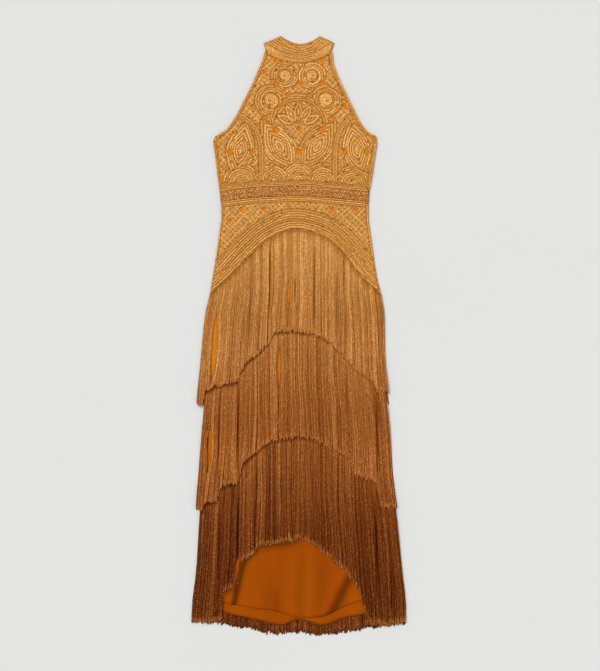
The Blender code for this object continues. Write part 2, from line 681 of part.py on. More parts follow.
def make_fringe(name, finish_name, sides, heading, tips, base, profile):
    """Make one tier: a narrow heading strip, and locks that grow from its lower edge.

    sides gives the tier's edges, heading the strip's upper edge and tips the
    locks' ends. base gives the underside's height at a height of the dress,
    and profile, for a lock that lies between two places across, how much
    higher it passes, as falling pairs of place and lift.
    """
    draw = random.Random(name)
    left, right = sides_of(sides)
    root = height_on(heading)
    tip_height = height_on(tips)

    def across(share, y):
        return left(y) * (1 - share) + right(y) * share

    def on_heading(share, below):
        y = root(0.0)
        for _ in range(HEADING_PASSES):
            y = root(across(share, y - below)) - below
        return across(share, y), y

    points = []
    faces = []

    def add(x, y, lift, thickness):
        z = base(y) + lift
        points.append((x, y, z))
        points.append((x, y, z + thickness))
        return len(points) - 2

    def add_on_heading(share, below):
        x, y = on_heading(share, below)
        return add(x, y, profile(x, x)[0][1], LOCK)

    count = LOCKS_A_TIER
    width_share = 1.0 / count
    gap_share = LOCK_GAP / (right(root(0.0)) - left(root(0.0)))
    upper = [add_on_heading(k * width_share, HEADING_GAP) for k in range(count)]
    upper.append(add_on_heading(1.0 - gap_share, HEADING_GAP))
    lower = []
    for k in range(count):
        first = add_on_heading(k * width_share, HEADING_GAP + HEADING_WIDTH)
        second = add_on_heading((k + 1) * width_share - gap_share, HEADING_GAP + HEADING_WIDTH)
        lower.append((first, second))
    for k in range(count):
        first, second = lower[k]
        ring = [first, second]
        if k + 1 < count:
            following = lower[k + 1][0]
            ring += [following, upper[k + 1], upper[k]]
            faces.append((second, following, following + 1, second + 1))
        else:
            ring += [upper[k + 1], upper[k]]
        faces.append(tuple(reversed(ring)))
        faces.append(tuple(v + 1 for v in ring))
        faces.append((upper[k + 1], upper[k], upper[k] + 1, upper[k + 1] + 1))
    faces.append((lower[0][0] + 1, upper[0] + 1, upper[0], lower[0][0]))
    faces.append((lower[-1][1], upper[-1], upper[-1] + 1, lower[-1][1] + 1))
    for k in range(count):
        start = k * width_share
        end = (k + 1) * width_share - gap_share
        mid = (start + end) / 2
        tip = tip_height(across(mid, tip_height(across(mid, tips[0][1]))))
        first, second = lower[k]
        top = min(points[first][1], points[second][1])
        tip = min(tip + draw.uniform(-TIP_JITTER, TIP_JITTER), top - SHORTEST_LOCK)
        passes = profile(across(start, tip), across(end, tip))
        places = [place for place, _ in passes][::-1]
        lifts = [lift for _, lift in passes][::-1]
        stops = lock_stops(top, tip, places + [RISE_START, RISE_END])
        narrow = (TIP_GAP - LOCK_GAP) / (right(tip) - left(tip)) / 2
        for number, y in enumerate(stops[1:], 1):
            share = number / (len(stops) - 1)
            thickness = LOCK + (TIP_THICKNESS - LOCK) * share
            lift = float(np.interp(y, places, lifts))
            low = add(across(start + narrow * share, y), y, lift, thickness)
            high = add(across(end - narrow * share, y), y, lift, thickness)
            faces.append((first, second, high, low))
            faces.append((first + 1, low + 1, high + 1, second + 1))
            faces.append((first, low, low + 1, first + 1))
            faces.append((second, second + 1, high + 1, high))
            first, second = low, high
        faces.append((first, second, second + 1, first + 1))
    add_piece(name, points, faces, finish_name)


def front_tier_plan(tier):
    """Return a front tier's base height, and the climb of each lock over the next heading."""
    following = height_on(FRONT_HEADINGS[tier + 1]) if tier + 1 < len(FRONT_HEADINGS) else None
    slip_hem = height_on(SLIP_BACK_HEM)
    start, end = RISE_AHEAD

    def base(y):
        return FRONT_LEVEL + slip_rise(y)

    def profile(x_low, x_high):
        if following is None:
            hem = min(slip_hem(x_low), slip_hem(x_high)) - SLIP_CLEAR
            return [(hem, 0.0), (hem - HEM_DROP_RUN, -HEM_DROP)]
        crossing = max(following(x_low), following(x_high))
        return [(crossing + start, 0.0), (crossing + end, OVERLAP_RISE)]

    return base, profile


def back_tier_plan(tier):
    """Return a back tier's base height, and the drop of each lock off the tips above it."""
    above = height_on(BACK_TIPS[tier - 1]) if tier else None
    start, end = BACK_DROP

    def base(y):
        return BACK_LEVEL

    def profile(x_low, x_high):
        if above is None:
            return [(0.0, 0.0)]
        end_of_tips = min(above(x_low), above(x_high))
        return [(end_of_tips - start, OVERLAP_RISE), (end_of_tips - end, 0.0)]

    return base, profile


def make_tiers():
    """Make the three tiers of fringe, front and back."""
    finishes = ("fringe_light", "fringe_mid", "fringe_dark")
    front_headings = (through(ARCH, 2),) + FRONT_HEADINGS[1:]
    for tier in range(3):
        make_fringe("fringe_front_%d" % (tier + 1), finishes[tier], TIER_SIDES[tier],
                    front_headings[tier], FRONT_TIPS[tier], *front_tier_plan(tier))
        make_fringe("fringe_back_%d" % (tier + 1), finishes[tier], TIER_SIDES[tier],
                    BACK_HEADINGS[tier], BACK_TIPS[tier], *back_tier_plan(tier))


def main():
    """Build the dress from collar to hem."""
    clear_scene()
    back_seam = make_collar()
    make_bodice(back_seam)
    make_waistband()
    make_yoke()
    make_lining(back_seam)
    make_tiers()


main()
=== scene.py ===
"""The looks of a fringed maxi dress that lies flat and face up.

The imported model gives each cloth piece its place. Here every piece gets its
finish: laid cords on the lace, plaits on the waistband, a satin slip, and
twisted yarns for the locks of the fringe. Sizes are in millimetres unless a
name says otherwise, and meshes are stored in metres.
"""
import logging
import math
from collections.abc import Callable
from dataclasses import dataclass, field
from enum import Enum

import bpy
import numpy as np
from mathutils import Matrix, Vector
from mathutils.bvhtree import BVHTree


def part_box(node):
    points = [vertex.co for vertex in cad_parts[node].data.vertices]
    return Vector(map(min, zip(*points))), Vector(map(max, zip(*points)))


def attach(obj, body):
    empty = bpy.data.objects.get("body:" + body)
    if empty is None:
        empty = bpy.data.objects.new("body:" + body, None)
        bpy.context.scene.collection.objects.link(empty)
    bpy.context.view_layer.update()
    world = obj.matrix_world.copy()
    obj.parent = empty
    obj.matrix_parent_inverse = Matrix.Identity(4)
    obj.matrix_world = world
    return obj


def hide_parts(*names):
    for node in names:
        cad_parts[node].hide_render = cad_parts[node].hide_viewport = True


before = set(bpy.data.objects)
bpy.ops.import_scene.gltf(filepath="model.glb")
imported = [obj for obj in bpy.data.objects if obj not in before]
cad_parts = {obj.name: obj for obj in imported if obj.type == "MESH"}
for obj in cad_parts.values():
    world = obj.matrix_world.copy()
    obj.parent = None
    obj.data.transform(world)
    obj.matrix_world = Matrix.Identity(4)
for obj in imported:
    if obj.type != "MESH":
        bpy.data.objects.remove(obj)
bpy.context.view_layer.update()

LOG = logging.getLogger("maxi_dress")
Array = np.ndarray
MM = 0.001
BODY = "root"

# Levels of the layers, from the floor up
GAP = 0.3
LACE = 2.0
LINING = 1.0
LOCK = 2.0
LINING_BACK_LEVEL = LACE + GAP
LINING_FRONT_LEVEL = LINING_BACK_LEVEL + LINING + GAP
FRONT_LEVEL = LINING_FRONT_LEVEL + LINING + GAP
CORD_LEVEL = FRONT_LEVEL + 0.6
OVERLAP_RISE = LOCK + GAP
SLIP_RISE_SPAN = (-92.0, -140.0)

# Outline of bodice and yoke: height, left edge, right edge
BODY_EDGES = (
    (698.9, -81.1, 81.3), (684.0, -85.8, 82.8), (664.0, -92.6, 85.3), (625.0, -109.3, 100.5),
    (586.0, -128.1, 119.1), (547.0, -147.7, 137.7), (517.6, -165.6, 153.4), (502.9, -177.9, 165.1),
    (493.1, -192.6, 177.4), (485.7, -204.8, 190.6), (473.5, -209.2, 191.6), (449.0, -205.3, 187.7),
    (400.0, -199.9, 180.3), (355.0, -193.8, 173.0), (322.0, -190.1, 170.8), (282.0, -190.1, 170.8),
    (253.0, -194.3, 174.9), (213.8, -199.9, 180.6), (174.6, -205.3, 185.7), (135.4, -211.7, 192.6),
    (102.0, -217.1, 201.4),
)
ARCH = (
    (-217.1, 102.0), (-173.0, 140.0), (-143.6, 172.0), (-109.3, 206.4), (-73.7, 237.0),
    (-36.0, 255.0), (-4.0, 260.3), (28.0, 254.5), (50.0, 247.5), (76.9, 233.4),
    (106.3, 206.4), (135.7, 167.5), (165.1, 133.0), (201.4, 102.0),
)
BACK_ARCH = ((-217.1, 102.0), (-120.0, 94.0), (-8.0, 90.0), (110.0, 94.0), (201.4, 102.0))
WAIST_TOP = ((-193.8, 355.0), (-143.6, 363.0), (-90.6, 368.0), (-8.8, 370.6), (89.2, 364.2), (173.0, 355.0))
WAIST_BOTTOM = ((-190.1, 322.0), (-143.6, 328.5), (-90.6, 333.3), (3.4, 336.3), (89.2, 329.9), (170.8, 322.0))
PRINCESS = (
    ((-90.6, 368.0), (-91.0, 440.0), (-95.0, 480.0), (-108.0, 508.0), (-128.0, 528.0), (-151.4, 541.0)),
    ((89.2, 364.2), (90.0, 440.0), (94.0, 480.0), (105.0, 508.0), (122.0, 528.0), (140.9, 541.0)),
)
NECK_HALF = 81.0
NECK_LOW = 673.0
NECK_RISE = 25.9
BACK_SEAM_LOW = 688.0

# Slip: sides and hems
SLIP_SIDES = (
    (366.0, -188.0, 168.0), (280.0, -186.0, 166.0), (102.0, -213.0, 197.0), (-92.0, -216.0, 207.0),
    (-140.0, -217.0, 209.0), (-318.0, -222.0, 214.0), (-560.0, -227.0, 224.0), (-700.0, -230.0, 229.0),
)
SLIP_FRONT_HEM = (
    (-230.0, -640.0), (-178.0, -655.0), (-146.0, -661.0), (-102.0, -669.0), (-60.0, -674.0),
    (-18.0, -687.0), (33.0, -690.5), (77.0, -680.0), (122.0, -659.0), (175.0, -646.0), (229.0, -640.0),
)
SLIP_BACK_HEM = (
    (-230.0, -662.0), (-163.0, -682.0), (-112.0, -692.5), (-43.0, -707.5), (1.0, -694.0),
    (60.0, -707.5), (111.0, -690.5), (160.0, -681.5), (229.0, -664.0),
)

# Fringe: sides, headings and tips of the tiers
TIER_SIDES = (
    ((103.0, -216.0, 201.0), (58.0, -228.5, 208.5), (-88.0, -241.0, 214.0), (-170.0, -250.5, 222.0)),
    ((-110.0, -226.0, 205.0), (-170.0, -232.0, 217.0), (-250.0, -237.0, 225.0), (-355.0, -246.0, 232.0),
     (-425.0, -253.5, 239.5)),
    ((-385.0, -236.0, 232.0), (-433.0, -241.5, 238.5), (-560.0, -249.0, 251.0), (-650.0, -258.5, 260.5),
     (-702.0, -262.0, 262.5)),
)
FRONT_HEADINGS = (
    ARCH,
    ((-230.0, -128.0), (-200.0, -98.0), (-150.0, -78.0), (-126.0, -42.0), (-95.0, -16.0), (-65.0, 12.0),
     (-30.0, 31.0), (10.0, 33.0), (50.0, 22.0), (80.0, 2.0), (114.0, -30.0), (143.0, -62.0),
     (182.0, -92.0), (212.0, -112.0)),
    ((-240.0, -388.0), (-215.0, -368.0), (-190.0, -340.0), (-150.0, -312.0), (-130.0, -280.0),
     (-87.0, -243.0), (-60.0, -231.0), (0.0, -222.0), (45.0, -230.0), (93.0, -256.0), (125.0, -278.0),
     (153.0, -318.0), (190.0, -335.0), (235.0, -385.0)),
)
FRONT_TIPS = (
    ((-250.0, -165.0), (-232.0, -168.0), (-228.0, -137.0), (-200.0, -122.0), (-147.0, -112.0),
     (-144.0, -92.0), (-126.0, -65.0), (-95.0, -39.0), (-72.0, -14.0), (-60.0, 10.0), (-11.0, 13.0),
     (38.0, 5.0), (72.0, -14.0), (114.0, -54.0), (143.0, -88.0), (182.0, -114.0), (192.0, -135.0),
     (222.0, -138.0)),
    ((-253.0, -421.0), (-234.0, -426.0), (-227.0, -406.0), (-195.0, -402.0), (-192.0, -369.0),
     (-148.0, -357.0), (-136.0, -313.0), (-87.0, -269.0), (-67.0, -255.0), (6.0, -245.0), (45.0, -254.0),
     (93.0, -280.0), (125.0, -300.0), (133.0, -330.0), (153.0, -346.0), (189.0, -356.0), (194.0, -416.0),
     (240.0, -418.0)),
    ((-262.0, -695.0), (-242.0, -699.0), (-212.0, -701.0), (-185.0, -688.0), (-181.0, -624.0),
     (-149.0, -604.0), (-143.0, -549.0), (-119.0, -537.0), (-90.0, -510.0), (-21.0, -502.0), (11.0, -494.0),
     (41.0, -514.0), (79.0, -543.0), (111.0, -575.0), (137.0, -607.0), (150.0, -632.0), (154.0, -662.0),
     (168.0, -682.0), (171.0, -702.0), (224.0, -707.0), (262.0, -699.0)),
)
BACK_HEADINGS = (
    BACK_ARCH,
    ((-230.0, -148.0), (0.0, -160.0), (216.0, -148.0)),
    ((-240.0, -400.0), (0.0, -412.0), (236.0, -400.0)),
)
BACK_TIPS = (
    ((-250.0, -165.0), (0.0, -182.0), (222.0, -165.0)),
    ((-253.0, -421.0), (0.0, -436.0), (240.0, -421.0)),
    ((-262.0, -696.0), (-183.0, -704.0), (-129.0, -714.0), (-73.0, -726.0), (-43.0, -728.0), (2.0, -722.0),
     (43.0, -730.8), (77.0, -728.0), (128.0, -721.0), (170.0, -714.0), (262.0, -701.0)),
)


class Side(Enum):
    """Which side of the dress a piece belongs to."""

    FRONT = "front"
    BACK = "back"


def line_height(points: tuple) -> Callable[[Array], Array]:
    """Return a line's height as a function of the place across, straight between its points."""
    across = np.array([p[0] for p in points])
    up = np.array([p[1] for p in points])
    return lambda x: np.interp(x, across, up)


def edge_places(rows: tuple) -> tuple[Callable[[Array], Array], Callable[[Array], Array]]:
    """Return the left and right edges of rows of (height, left, right) as functions of height."""
    up, left, right = np.array(rows)[::-1].T
    return (lambda y: np.interp(y, up, left)), (lambda y: np.interp(y, up, right))


def smooth_step(value: Array) -> Array:
    """Return the value's soft step: 3 v squared less 2 v cubed, held between 0 and 1."""
    v = np.clip(value, 0.0, 1.0)
    return v * v * (3.0 - 2.0 * v)


def bell(value: Array) -> Array:
    """Return the bell curve: e to the power of minus the value squared."""
    return np.exp(-value ** 2)


def left_share(x: Array, middle: float, run: float) -> Array:
    """Return how far places lie to the left, from 1 to 0, in a soft step of this run at the middle."""
    return (1.0 - np.tanh((x - middle) / run)) / 2


def length_along(line: Array) -> Array:
    """Return how far along its line each point lies."""
    return np.concatenate([[0.0], np.cumsum(np.linalg.norm(np.diff(line, axis=0), axis=1))])


def to_the_left(line: Array) -> Array:
    """Return the step of one millimetre to the left of the line's own direction, at each point."""
    ahead = np.gradient(line, axis=0)
    ahead /= np.maximum(np.linalg.norm(ahead, axis=1, keepdims=True), 1e-9)
    return np.column_stack([-ahead[:, 1], ahead[:, 0]])


def even_line(line: Array, spacing: float) -> Array:
    """Return the line sampled again at even steps of its own length."""
    along = length_along(line)
    count = max(2, int(round(along[-1] / spacing)) + 1)
    places = np.linspace(0.0, along[-1], count)
    return np.column_stack([np.interp(places, along, line[:, k]) for k in range(line.shape[1])])


def smooth_line(points: Array, spacing: float = 4.0) -> Array:
    """Return a smooth line through the points: a cubic on each span, sampled evenly.

    Args:
        points: rows of places across and up.
        spacing: distance between samples, in millimetres.

    Returns:
        Rows of places along the line.
    """
    points = np.asarray(points, float)
    ends = np.vstack([points[:1], points, points[-1:]])
    t = np.linspace(0, 1, 16, endpoint=False)[:, None]
    spans = []
    for k in range(1, len(ends) - 2):
        a, b, c, d = ends[k - 1:k + 3]
        spans.append(0.5 * (2 * b + (c - a) * t + (2 * a - 5 * b + 4 * c - d) * t ** 2
                            + (3 * b - a - 3 * c + d) * t ** 3))
    return even_line(np.vstack(spans + [points[-1:]]), spacing)


def moved_aside(line: Array, distance: float, spacing: float = 4.0) -> Array:
    """Return a line moved to the left of its own direction, each point along its normal."""
    return even_line(line + to_the_left(line) * distance, spacing)


def swayed(line: Array, draw: np.random.Generator, size: float) -> Array:
    """Return a line moved off itself along its normals by two slow sine waves of its own."""
    along = length_along(line)
    wave = np.sin(along / draw.uniform(14.0, 30.0) + draw.uniform(0.0, 6.3))
    wave = wave + 0.6 * np.sin(along / draw.uniform(5.0, 11.0) + draw.uniform(0.0, 6.3))
    return line + to_the_left(line) * (size * wave)[:, None]


def slip_rise(y: Array) -> Array:
    """Return how far the slip has climbed over the back fringe at a height of the dress."""
    start, end = SLIP_RISE_SPAN
    return OVERLAP_RISE * np.clip((start - y) / (start - end), 0.0, 1.0)


def neck_seam(x: Array) -> Array:
    """Return the height of the collar's seam: a parabola that rises to both sides."""
    return NECK_LOW + NECK_RISE * (x / NECK_HALF) ** 2


def new_mesh(name: str, points: Array, blocks: list[Array], material: bpy.types.Material,
             smooth: tuple[bool, ...] = ()) -> bpy.types.Object:
    """Put points in millimetres and blocks of faces into a new object.

    Args:
        name: the piece's name.
        points: rows of x, y, z.
        blocks: arrays of point numbers, each with its own count of corners a face.
        material: its finish.
        smooth: which blocks are shaded smooth, by default those of four corners.

    Returns:
        The object, at the origin.
    """
    corners = np.concatenate([block.ravel() for block in blocks]).astype(np.int32)
    sizes = np.concatenate([np.full(len(block), block.shape[1]) for block in blocks])
    smooth = smooth or tuple(block.shape[1] > 3 for block in blocks)
    flags = np.concatenate([np.full(len(block), flag) for block, flag in zip(blocks, smooth)])
    mesh = bpy.data.meshes.new(name)
    mesh.vertices.add(len(points))
    mesh.vertices.foreach_set("co", (points * MM).astype(np.float32).ravel())
    mesh.loops.add(len(corners))
    mesh.loops.foreach_set("vertex_index", corners)
    mesh.polygons.add(len(sizes))
    mesh.polygons.foreach_set("loop_start", (np.cumsum(sizes) - sizes).astype(np.int32))
    mesh.polygons.foreach_set("use_smooth", flags)
    mesh.update(calc_edges=True)
    mesh.materials.append(material)
    piece = bpy.data.objects.new(name, mesh)
    bpy.context.collection.objects.link(piece)
    return piece


def read_all(rows: bpy.types.bpy_prop_collection, key: str, width: int = 1, kind: type = np.float32) -> Array:
    """Return one value, or this many numbers, of every point, corner or face."""
    values = np.empty(len(rows) * width, kind)
    rows.foreach_get(key, values)
    return values.reshape(-1, width) if width > 1 else values


def set_uv(piece: bpy.types.Object, u: Array, v: Array) -> None:
    """Give each point its place in the piece's UV map, along u and v."""
    layer = piece.data.uv_layers.new(name="UVMap")
    index = read_all(piece.data.loops, "vertex_index", kind=np.int32)
    layer.data.foreach_set("uv", np.column_stack([u[index], v[index]]).astype(np.float32).ravel())


def set_number(piece: bpy.types.Object, name: str, values: Array) -> None:
    """Give each point a number that a material reads under this name."""
    layer = piece.data.attributes.new(name, "FLOAT", "POINT")
    layer.data.foreach_set("value", values.astype(np.float32))


class Graph:
    """A material's node tree, with short calls for the nodes that the finishes use."""

    # A band texture repeats each time its scaled coordinate grows by this much
    BAND_PERIOD = 2 * math.pi / 10

    def __init__(self, name: str) -> None:
        """Make the material and keep its shader."""
        self.material = bpy.data.materials.new(name)
        self.material.use_nodes = True
        self.tree = self.material.node_tree
        self.shader = self.tree.nodes["Principled BSDF"]

    def node(self, kind: str, **values: object) -> bpy.types.Node:
        """Add a node and set its properties."""
        made = self.tree.nodes.new(kind)
        for key, value in values.items():
            setattr(made, key, value)
        return made

    def feed(self, socket: bpy.types.NodeSocket, source: object) -> None:
        """Link a source to a socket, or set the socket's own value."""
        if isinstance(source, bpy.types.NodeSocket):
            self.tree.links.new(source, socket)
        else:
            socket.default_value = source

    def math(self, how: str, first: object, second: object = 0.0) -> bpy.types.NodeSocket:
        """Return the outcome of one sum."""
        made = self.node("ShaderNodeMath", operation=how)
        self.feed(made.inputs[0], first)
        self.feed(made.inputs[1], second)
        return made.outputs[0]

    def times(self, first: object, *others: object) -> bpy.types.NodeSocket:
        """Return the product of numbers."""
        for other in others:
            first = self.math("MULTIPLY", first, other)
        return first

    def paint(self, colour: bpy.types.NodeSocket) -> None:
        """Give the shader its colour."""
        self.feed(self.shader.inputs["Base Color"], colour)

    def place(self) -> bpy.types.NodeSocket:
        """Return the object coordinates."""
        return self.node("ShaderNodeTexCoord").outputs["Object"]

    def height_share(self, low: float, high: float) -> bpy.types.NodeSocket:
        """Return how far up between two heights of the dress a place is, from 0 to 1."""
        split = self.node("ShaderNodeSeparateXYZ")
        self.feed(split.inputs[0], self.place())
        return self.spread(split.outputs["Y"], low * MM, high * MM, 0.0, 1.0)

    def number(self, name: str) -> bpy.types.NodeSocket:
        """Return a number that the mesh carries under a name."""
        return self.node("ShaderNodeAttribute", attribute_name=name).outputs["Fac"]

    def stretched(self, source: bpy.types.NodeSocket, scale: tuple) -> bpy.types.NodeSocket:
        """Return coordinates scaled by three numbers."""
        made = self.node("ShaderNodeMapping")
        self.feed(made.inputs["Vector"], source)
        made.inputs["Scale"].default_value = scale
        return made.outputs["Vector"]

    def noise(self, source: bpy.types.NodeSocket, scale: float, detail: float = 2.0) -> bpy.types.NodeSocket:
        """Return a cloudy number about one half."""
        made = self.node("ShaderNodeTexNoise")
        self.feed(made.inputs["Vector"], source)
        made.inputs["Scale"].default_value = scale
        made.inputs["Detail"].default_value = detail
        return made.outputs["Fac"]

    def plies(self, around: float, length_mm: float) -> bpy.types.NodeSocket:
        """Return slanting stripes on the UV map: so many a turn, each of this length along."""
        uv = self.node("ShaderNodeUVMap", uv_map="UVMap").outputs["UV"]
        made = self.node("ShaderNodeTexWave", wave_type="BANDS", bands_direction="DIAGONAL")
        scale = (around * self.BAND_PERIOD, self.BAND_PERIOD / (length_mm * MM), 1.0)
        self.feed(made.inputs["Vector"], self.stretched(uv, scale))
        made.inputs["Scale"].default_value = 1.0
        return made.outputs["Fac"]

    def ramp(self, source: object, stops: tuple) -> bpy.types.NodeSocket:
        """Return the colour that a number picks from stops of (place, colour)."""
        made = self.node("ShaderNodeValToRGB")
        self.feed(made.inputs["Fac"], source)
        elements = made.color_ramp.elements
        while len(elements) < len(stops):
            elements.new(0.5)
        for element, (place, colour) in zip(elements, stops):
            element.position = place
            element.color = (*colour, 1.0)
        return made.outputs["Color"]

    def spread(self, source: object, low: float, high: float, to_low: float,
               to_high: float) -> bpy.types.NodeSocket:
        """Return a number carried from one range to another, held at the ends."""
        made = self.node("ShaderNodeMapRange")
        self.feed(made.inputs["Value"], source)
        for key, value in (("From Min", low), ("From Max", high), ("To Min", to_low), ("To Max", to_high)):
            made.inputs[key].default_value = value
        return made.outputs["Result"]

    def scaled(self, colour: bpy.types.NodeSocket, factor: object) -> bpy.types.NodeSocket:
        """Return a colour made brighter or darker by a number."""
        made = self.node("ShaderNodeVectorMath", operation="SCALE")
        self.feed(made.inputs[0], colour)
        self.feed(made.inputs["Scale"], factor)
        return made.outputs[0]

    def deepened(self, colour: bpy.types.NodeSocket, bright: object, depth: float,
                 power: float) -> bpy.types.NodeSocket:
        """Return a colour scaled by a power of a brightness: deeper in the dark, paler in the light."""
        made = self.node("ShaderNodeGamma")
        self.feed(made.inputs["Color"], colour)
        self.feed(made.inputs["Gamma"], self.spread(bright, 0.0, 2.0, 1.0 + depth, 1.0 - depth))
        return self.scaled(made.outputs["Color"], self.math("POWER", bright, power))

    def mixed(self, share: object, first: object, second: object) -> bpy.types.NodeSocket:
        """Return a mix of two colours."""
        made = self.node("ShaderNodeMix", data_type="RGBA")
        self.feed(made.inputs["Factor"], share)
        self.feed(made.inputs[6], first)
        self.feed(made.inputs[7], second)
        return made.outputs[2]

    def bump(self, height: object, strength: float, distance_mm: float) -> None:
        """Give the shader a bump from a height between 0 and 1."""
        made = self.node("ShaderNodeBump")
        made.inputs["Strength"].default_value = strength
        made.inputs["Distance"].default_value = distance_mm * MM
        self.feed(made.inputs["Height"], height)
        self.feed(self.shader.inputs["Normal"], made.outputs["Normal"])

    def gloss(self, roughness: float, metallic: float = 0.0, specular: float = 0.1) -> None:
        """Set the shader's plain numbers."""
        numbers = {"Roughness": roughness, "Metallic": metallic, "Specular IOR Level": specular}
        for key, value in numbers.items():
            self.shader.inputs[key].default_value = value


Colour = tuple[float, float, float]


@dataclass(frozen=True)
class ThreadFinish:
    """Lustrous thread, yarn or cord: a fade along the dress, plies with painted shade in their grooves, and
    painted glints.
    """

    name: str
    stops: tuple[tuple[float, Colour], ...]
    # Tips turn paler gold: partly the frayed ends' own colour, partly a painted highlight.
    tip_colour_and_highlight: Colour = (0.86, 0.29, 0.058)
    tip_share: float = 0.0
    # How far below its cover the painted shadow on a yarn reaches.
    painted_shadow_reach: float = 0.0
    # Painted glints: their colour, how much they tint, and how much they brighten.
    glint_colour: Colour = (0.80, 0.50, 0.22)
    glint_share: float = 0.10
    glint_gain: float = 1.7
    fleck_size: tuple[float, float] = (2.2, 2.2)
    fleck: float = 0.35
    plies: float = 2.0
    ply_length: float = 3.0
    # How much darker the grooves between plies are painted: painted shade.
    ply_painted_shade: float = 0.3
    depth: float = 0.42
    power: float = 0.66
    roughness: float = 0.42
    metallic: float = 0.2

    def build(self) -> bpy.types.Material:
        """Make the material: fade, then tips, then painted glints, each scaled by the shade number: the
        thread's own tone, and on the fringe painted shade and painted highlight as well.
        """
        graph = Graph(self.name)
        low, high = self.stops[0][0], self.stops[-1][0]
        fade = graph.ramp(graph.height_share(low, high),
                          tuple(((y - low) / (high - low), colour) for y, colour in self.stops))
        # Paler gold at the tips: the frayed ends' own colour and a painted highlight.
        if self.tip_share:
            share = graph.times(graph.number("tip"), self.tip_share)
            fade = graph.mixed(share, fade, (*self.tip_colour_and_highlight, 1.0))
        across, along = self.fleck_size
        grain = graph.stretched(graph.place(), (1 / (across * MM), 1 / (along * MM), 1 / (across * MM)))
        fleck = graph.noise(grain, 1.0, 2.5)
        # Painted glints where the fleck noise runs high.
        painted_glint_spots = graph.spread(fleck, 0.56, 0.68, 0.0, 1.0)
        colour = graph.mixed(graph.times(painted_glint_spots, self.glint_share), fade, (*self.glint_colour, 1.0))
        stripes = graph.plies(self.plies, self.ply_length)
        # Brightness: the shade number, random flecks, painted shade in the plies' grooves and painted glints.
        bright = graph.times(graph.number("shade"),
                             graph.spread(fleck, 0.34, 0.66, 1.0 - self.fleck, 1.0 + self.fleck),
                             graph.spread(stripes, 0.0, 1.0, 1.0 - self.ply_painted_shade, 1.1),
                             graph.spread(painted_glint_spots, 0.0, 1.0, 1.0, self.glint_gain))
        # Painted shadow just below whatever covers the yarn's root.
        if self.painted_shadow_reach:
            near = graph.spread(graph.number("below"), 0.0, self.painted_shadow_reach, 1.0, 0.0)
            shadow = graph.times(near, graph.number("under"))
            bright = graph.times(bright, graph.math("SUBTRACT", 1.0, shadow))
        graph.paint(graph.deepened(colour, bright, self.depth, self.power))
        graph.bump(stripes, 0.5, 0.4)
        graph.gloss(self.roughness, self.metallic, 0.05)
        return graph.material


@dataclass(frozen=True)
class GroundFinish:
    """The close net that the cords are sewn to, darker than they are: partly its own colour, partly painted
    shade for the gaps between the cords.
    """

    name: str
    colour: Colour
    dark: Colour
    mesh_size: float = 1.6
    # How dark the patches of painted shade are, and how big.
    patch: float = 0.5
    patch_size: float = 7.0
    roughness: float = 0.75

    def build(self) -> bpy.types.Material:
        """Make the material: a fine net of threads over a cloudy ground, with darker patches of painted
        shade.
        """
        graph = Graph(self.name)
        place = graph.place()
        cells = graph.node("ShaderNodeTexVoronoi")
        graph.feed(cells.inputs["Vector"], place)
        cells.inputs["Scale"].default_value = 1 / (self.mesh_size * MM)
        cloud = graph.spread(graph.noise(place, 90.0, 3.0), 0.3, 0.7, 0.5, 1.4)
        share = graph.times(cells.outputs["Distance"], cloud)
        tint = graph.ramp(share, ((0.1, self.dark), (0.7, self.colour)))
        # Darker patches of painted shade.
        patches = graph.noise(place, 1 / (self.patch_size * MM), 2.0)
        painted_shade = graph.spread(patches, 0.36, 0.47, self.patch, 1.0)
        graph.paint(graph.scaled(tint, painted_shade))
        graph.bump(cells.outputs["Distance"], 0.5, 0.4)
        graph.gloss(self.roughness)
        return graph.material


@dataclass(frozen=True)
class SatinFinish:
    """Plain orange lining cloth with a soft sheen and a fine weave."""

    name: str = "lining_satin"
    colour: Colour = (0.36, 0.072, 0.0008)
    shade: Colour = (0.31, 0.056, 0.0006)
    # A brighter orange higher up the dress: painted light where the lining shows through lace and fringe.
    upper: Colour = (0.64, 0.185, 0.006)
    # How much the painted shade number darkens the satin at most.
    painted_shade: float = 0.6
    thread: float = 0.5
    roughness: float = 0.5

    def build(self) -> bpy.types.Material:
        """Make the material: a cloudy tint under a fine cross weave, painted lighter higher up and darkened
        by the painted shade number.
        """
        graph = Graph(self.name)
        place = graph.place()
        cloud = graph.noise(graph.stretched(place, (9.0, 3.0, 9.0)), 1.0, 3.0)
        tint = graph.ramp(cloud, ((0.35, self.shade), (0.65, self.colour)))
        # Painted light: brighter orange higher up the dress.
        tint = graph.mixed(graph.height_share(-420.0, -60.0), tint, (*self.upper, 1.0))
        # Painted shade beside the folds and under the fringe's tips.
        painted_shade = graph.spread(graph.number("painted_shade"), 0.0, 1.0, 1.0, 1.0 - self.painted_shade)
        graph.paint(graph.scaled(tint, painted_shade))
        weave = []
        for direction in ("X", "Y"):
            wave = graph.node("ShaderNodeTexWave", wave_type="BANDS", bands_direction=direction)
            graph.feed(wave.inputs["Vector"], place)
            wave.inputs["Scale"].default_value = graph.BAND_PERIOD / 2 / (self.thread * MM)
            weave.append(wave.outputs["Fac"])
        graph.bump(graph.times(*weave), 0.25, 0.12)
        graph.gloss(self.roughness, specular=0.02)
        return graph.material


@dataclass(frozen=True)
class FloorFinish:
    """The plain pale floor that the dress lies on."""

    name: str = "pale_floor"
    colour: Colour = (0.682, 0.682, 0.669)

    def build(self) -> bpy.types.Material:
        """Make the material, matt with a faint cloud."""
        graph = Graph(self.name)
        cloud = graph.noise(graph.place(), 1.5, 2.0)
        lighter = tuple(min(1.0, c * 1.01) for c in self.colour)
        graph.paint(graph.ramp(cloud, ((0.3, self.colour), (0.7, lighter))))
        graph.gloss(0.9, specular=0.2)
        return graph.material


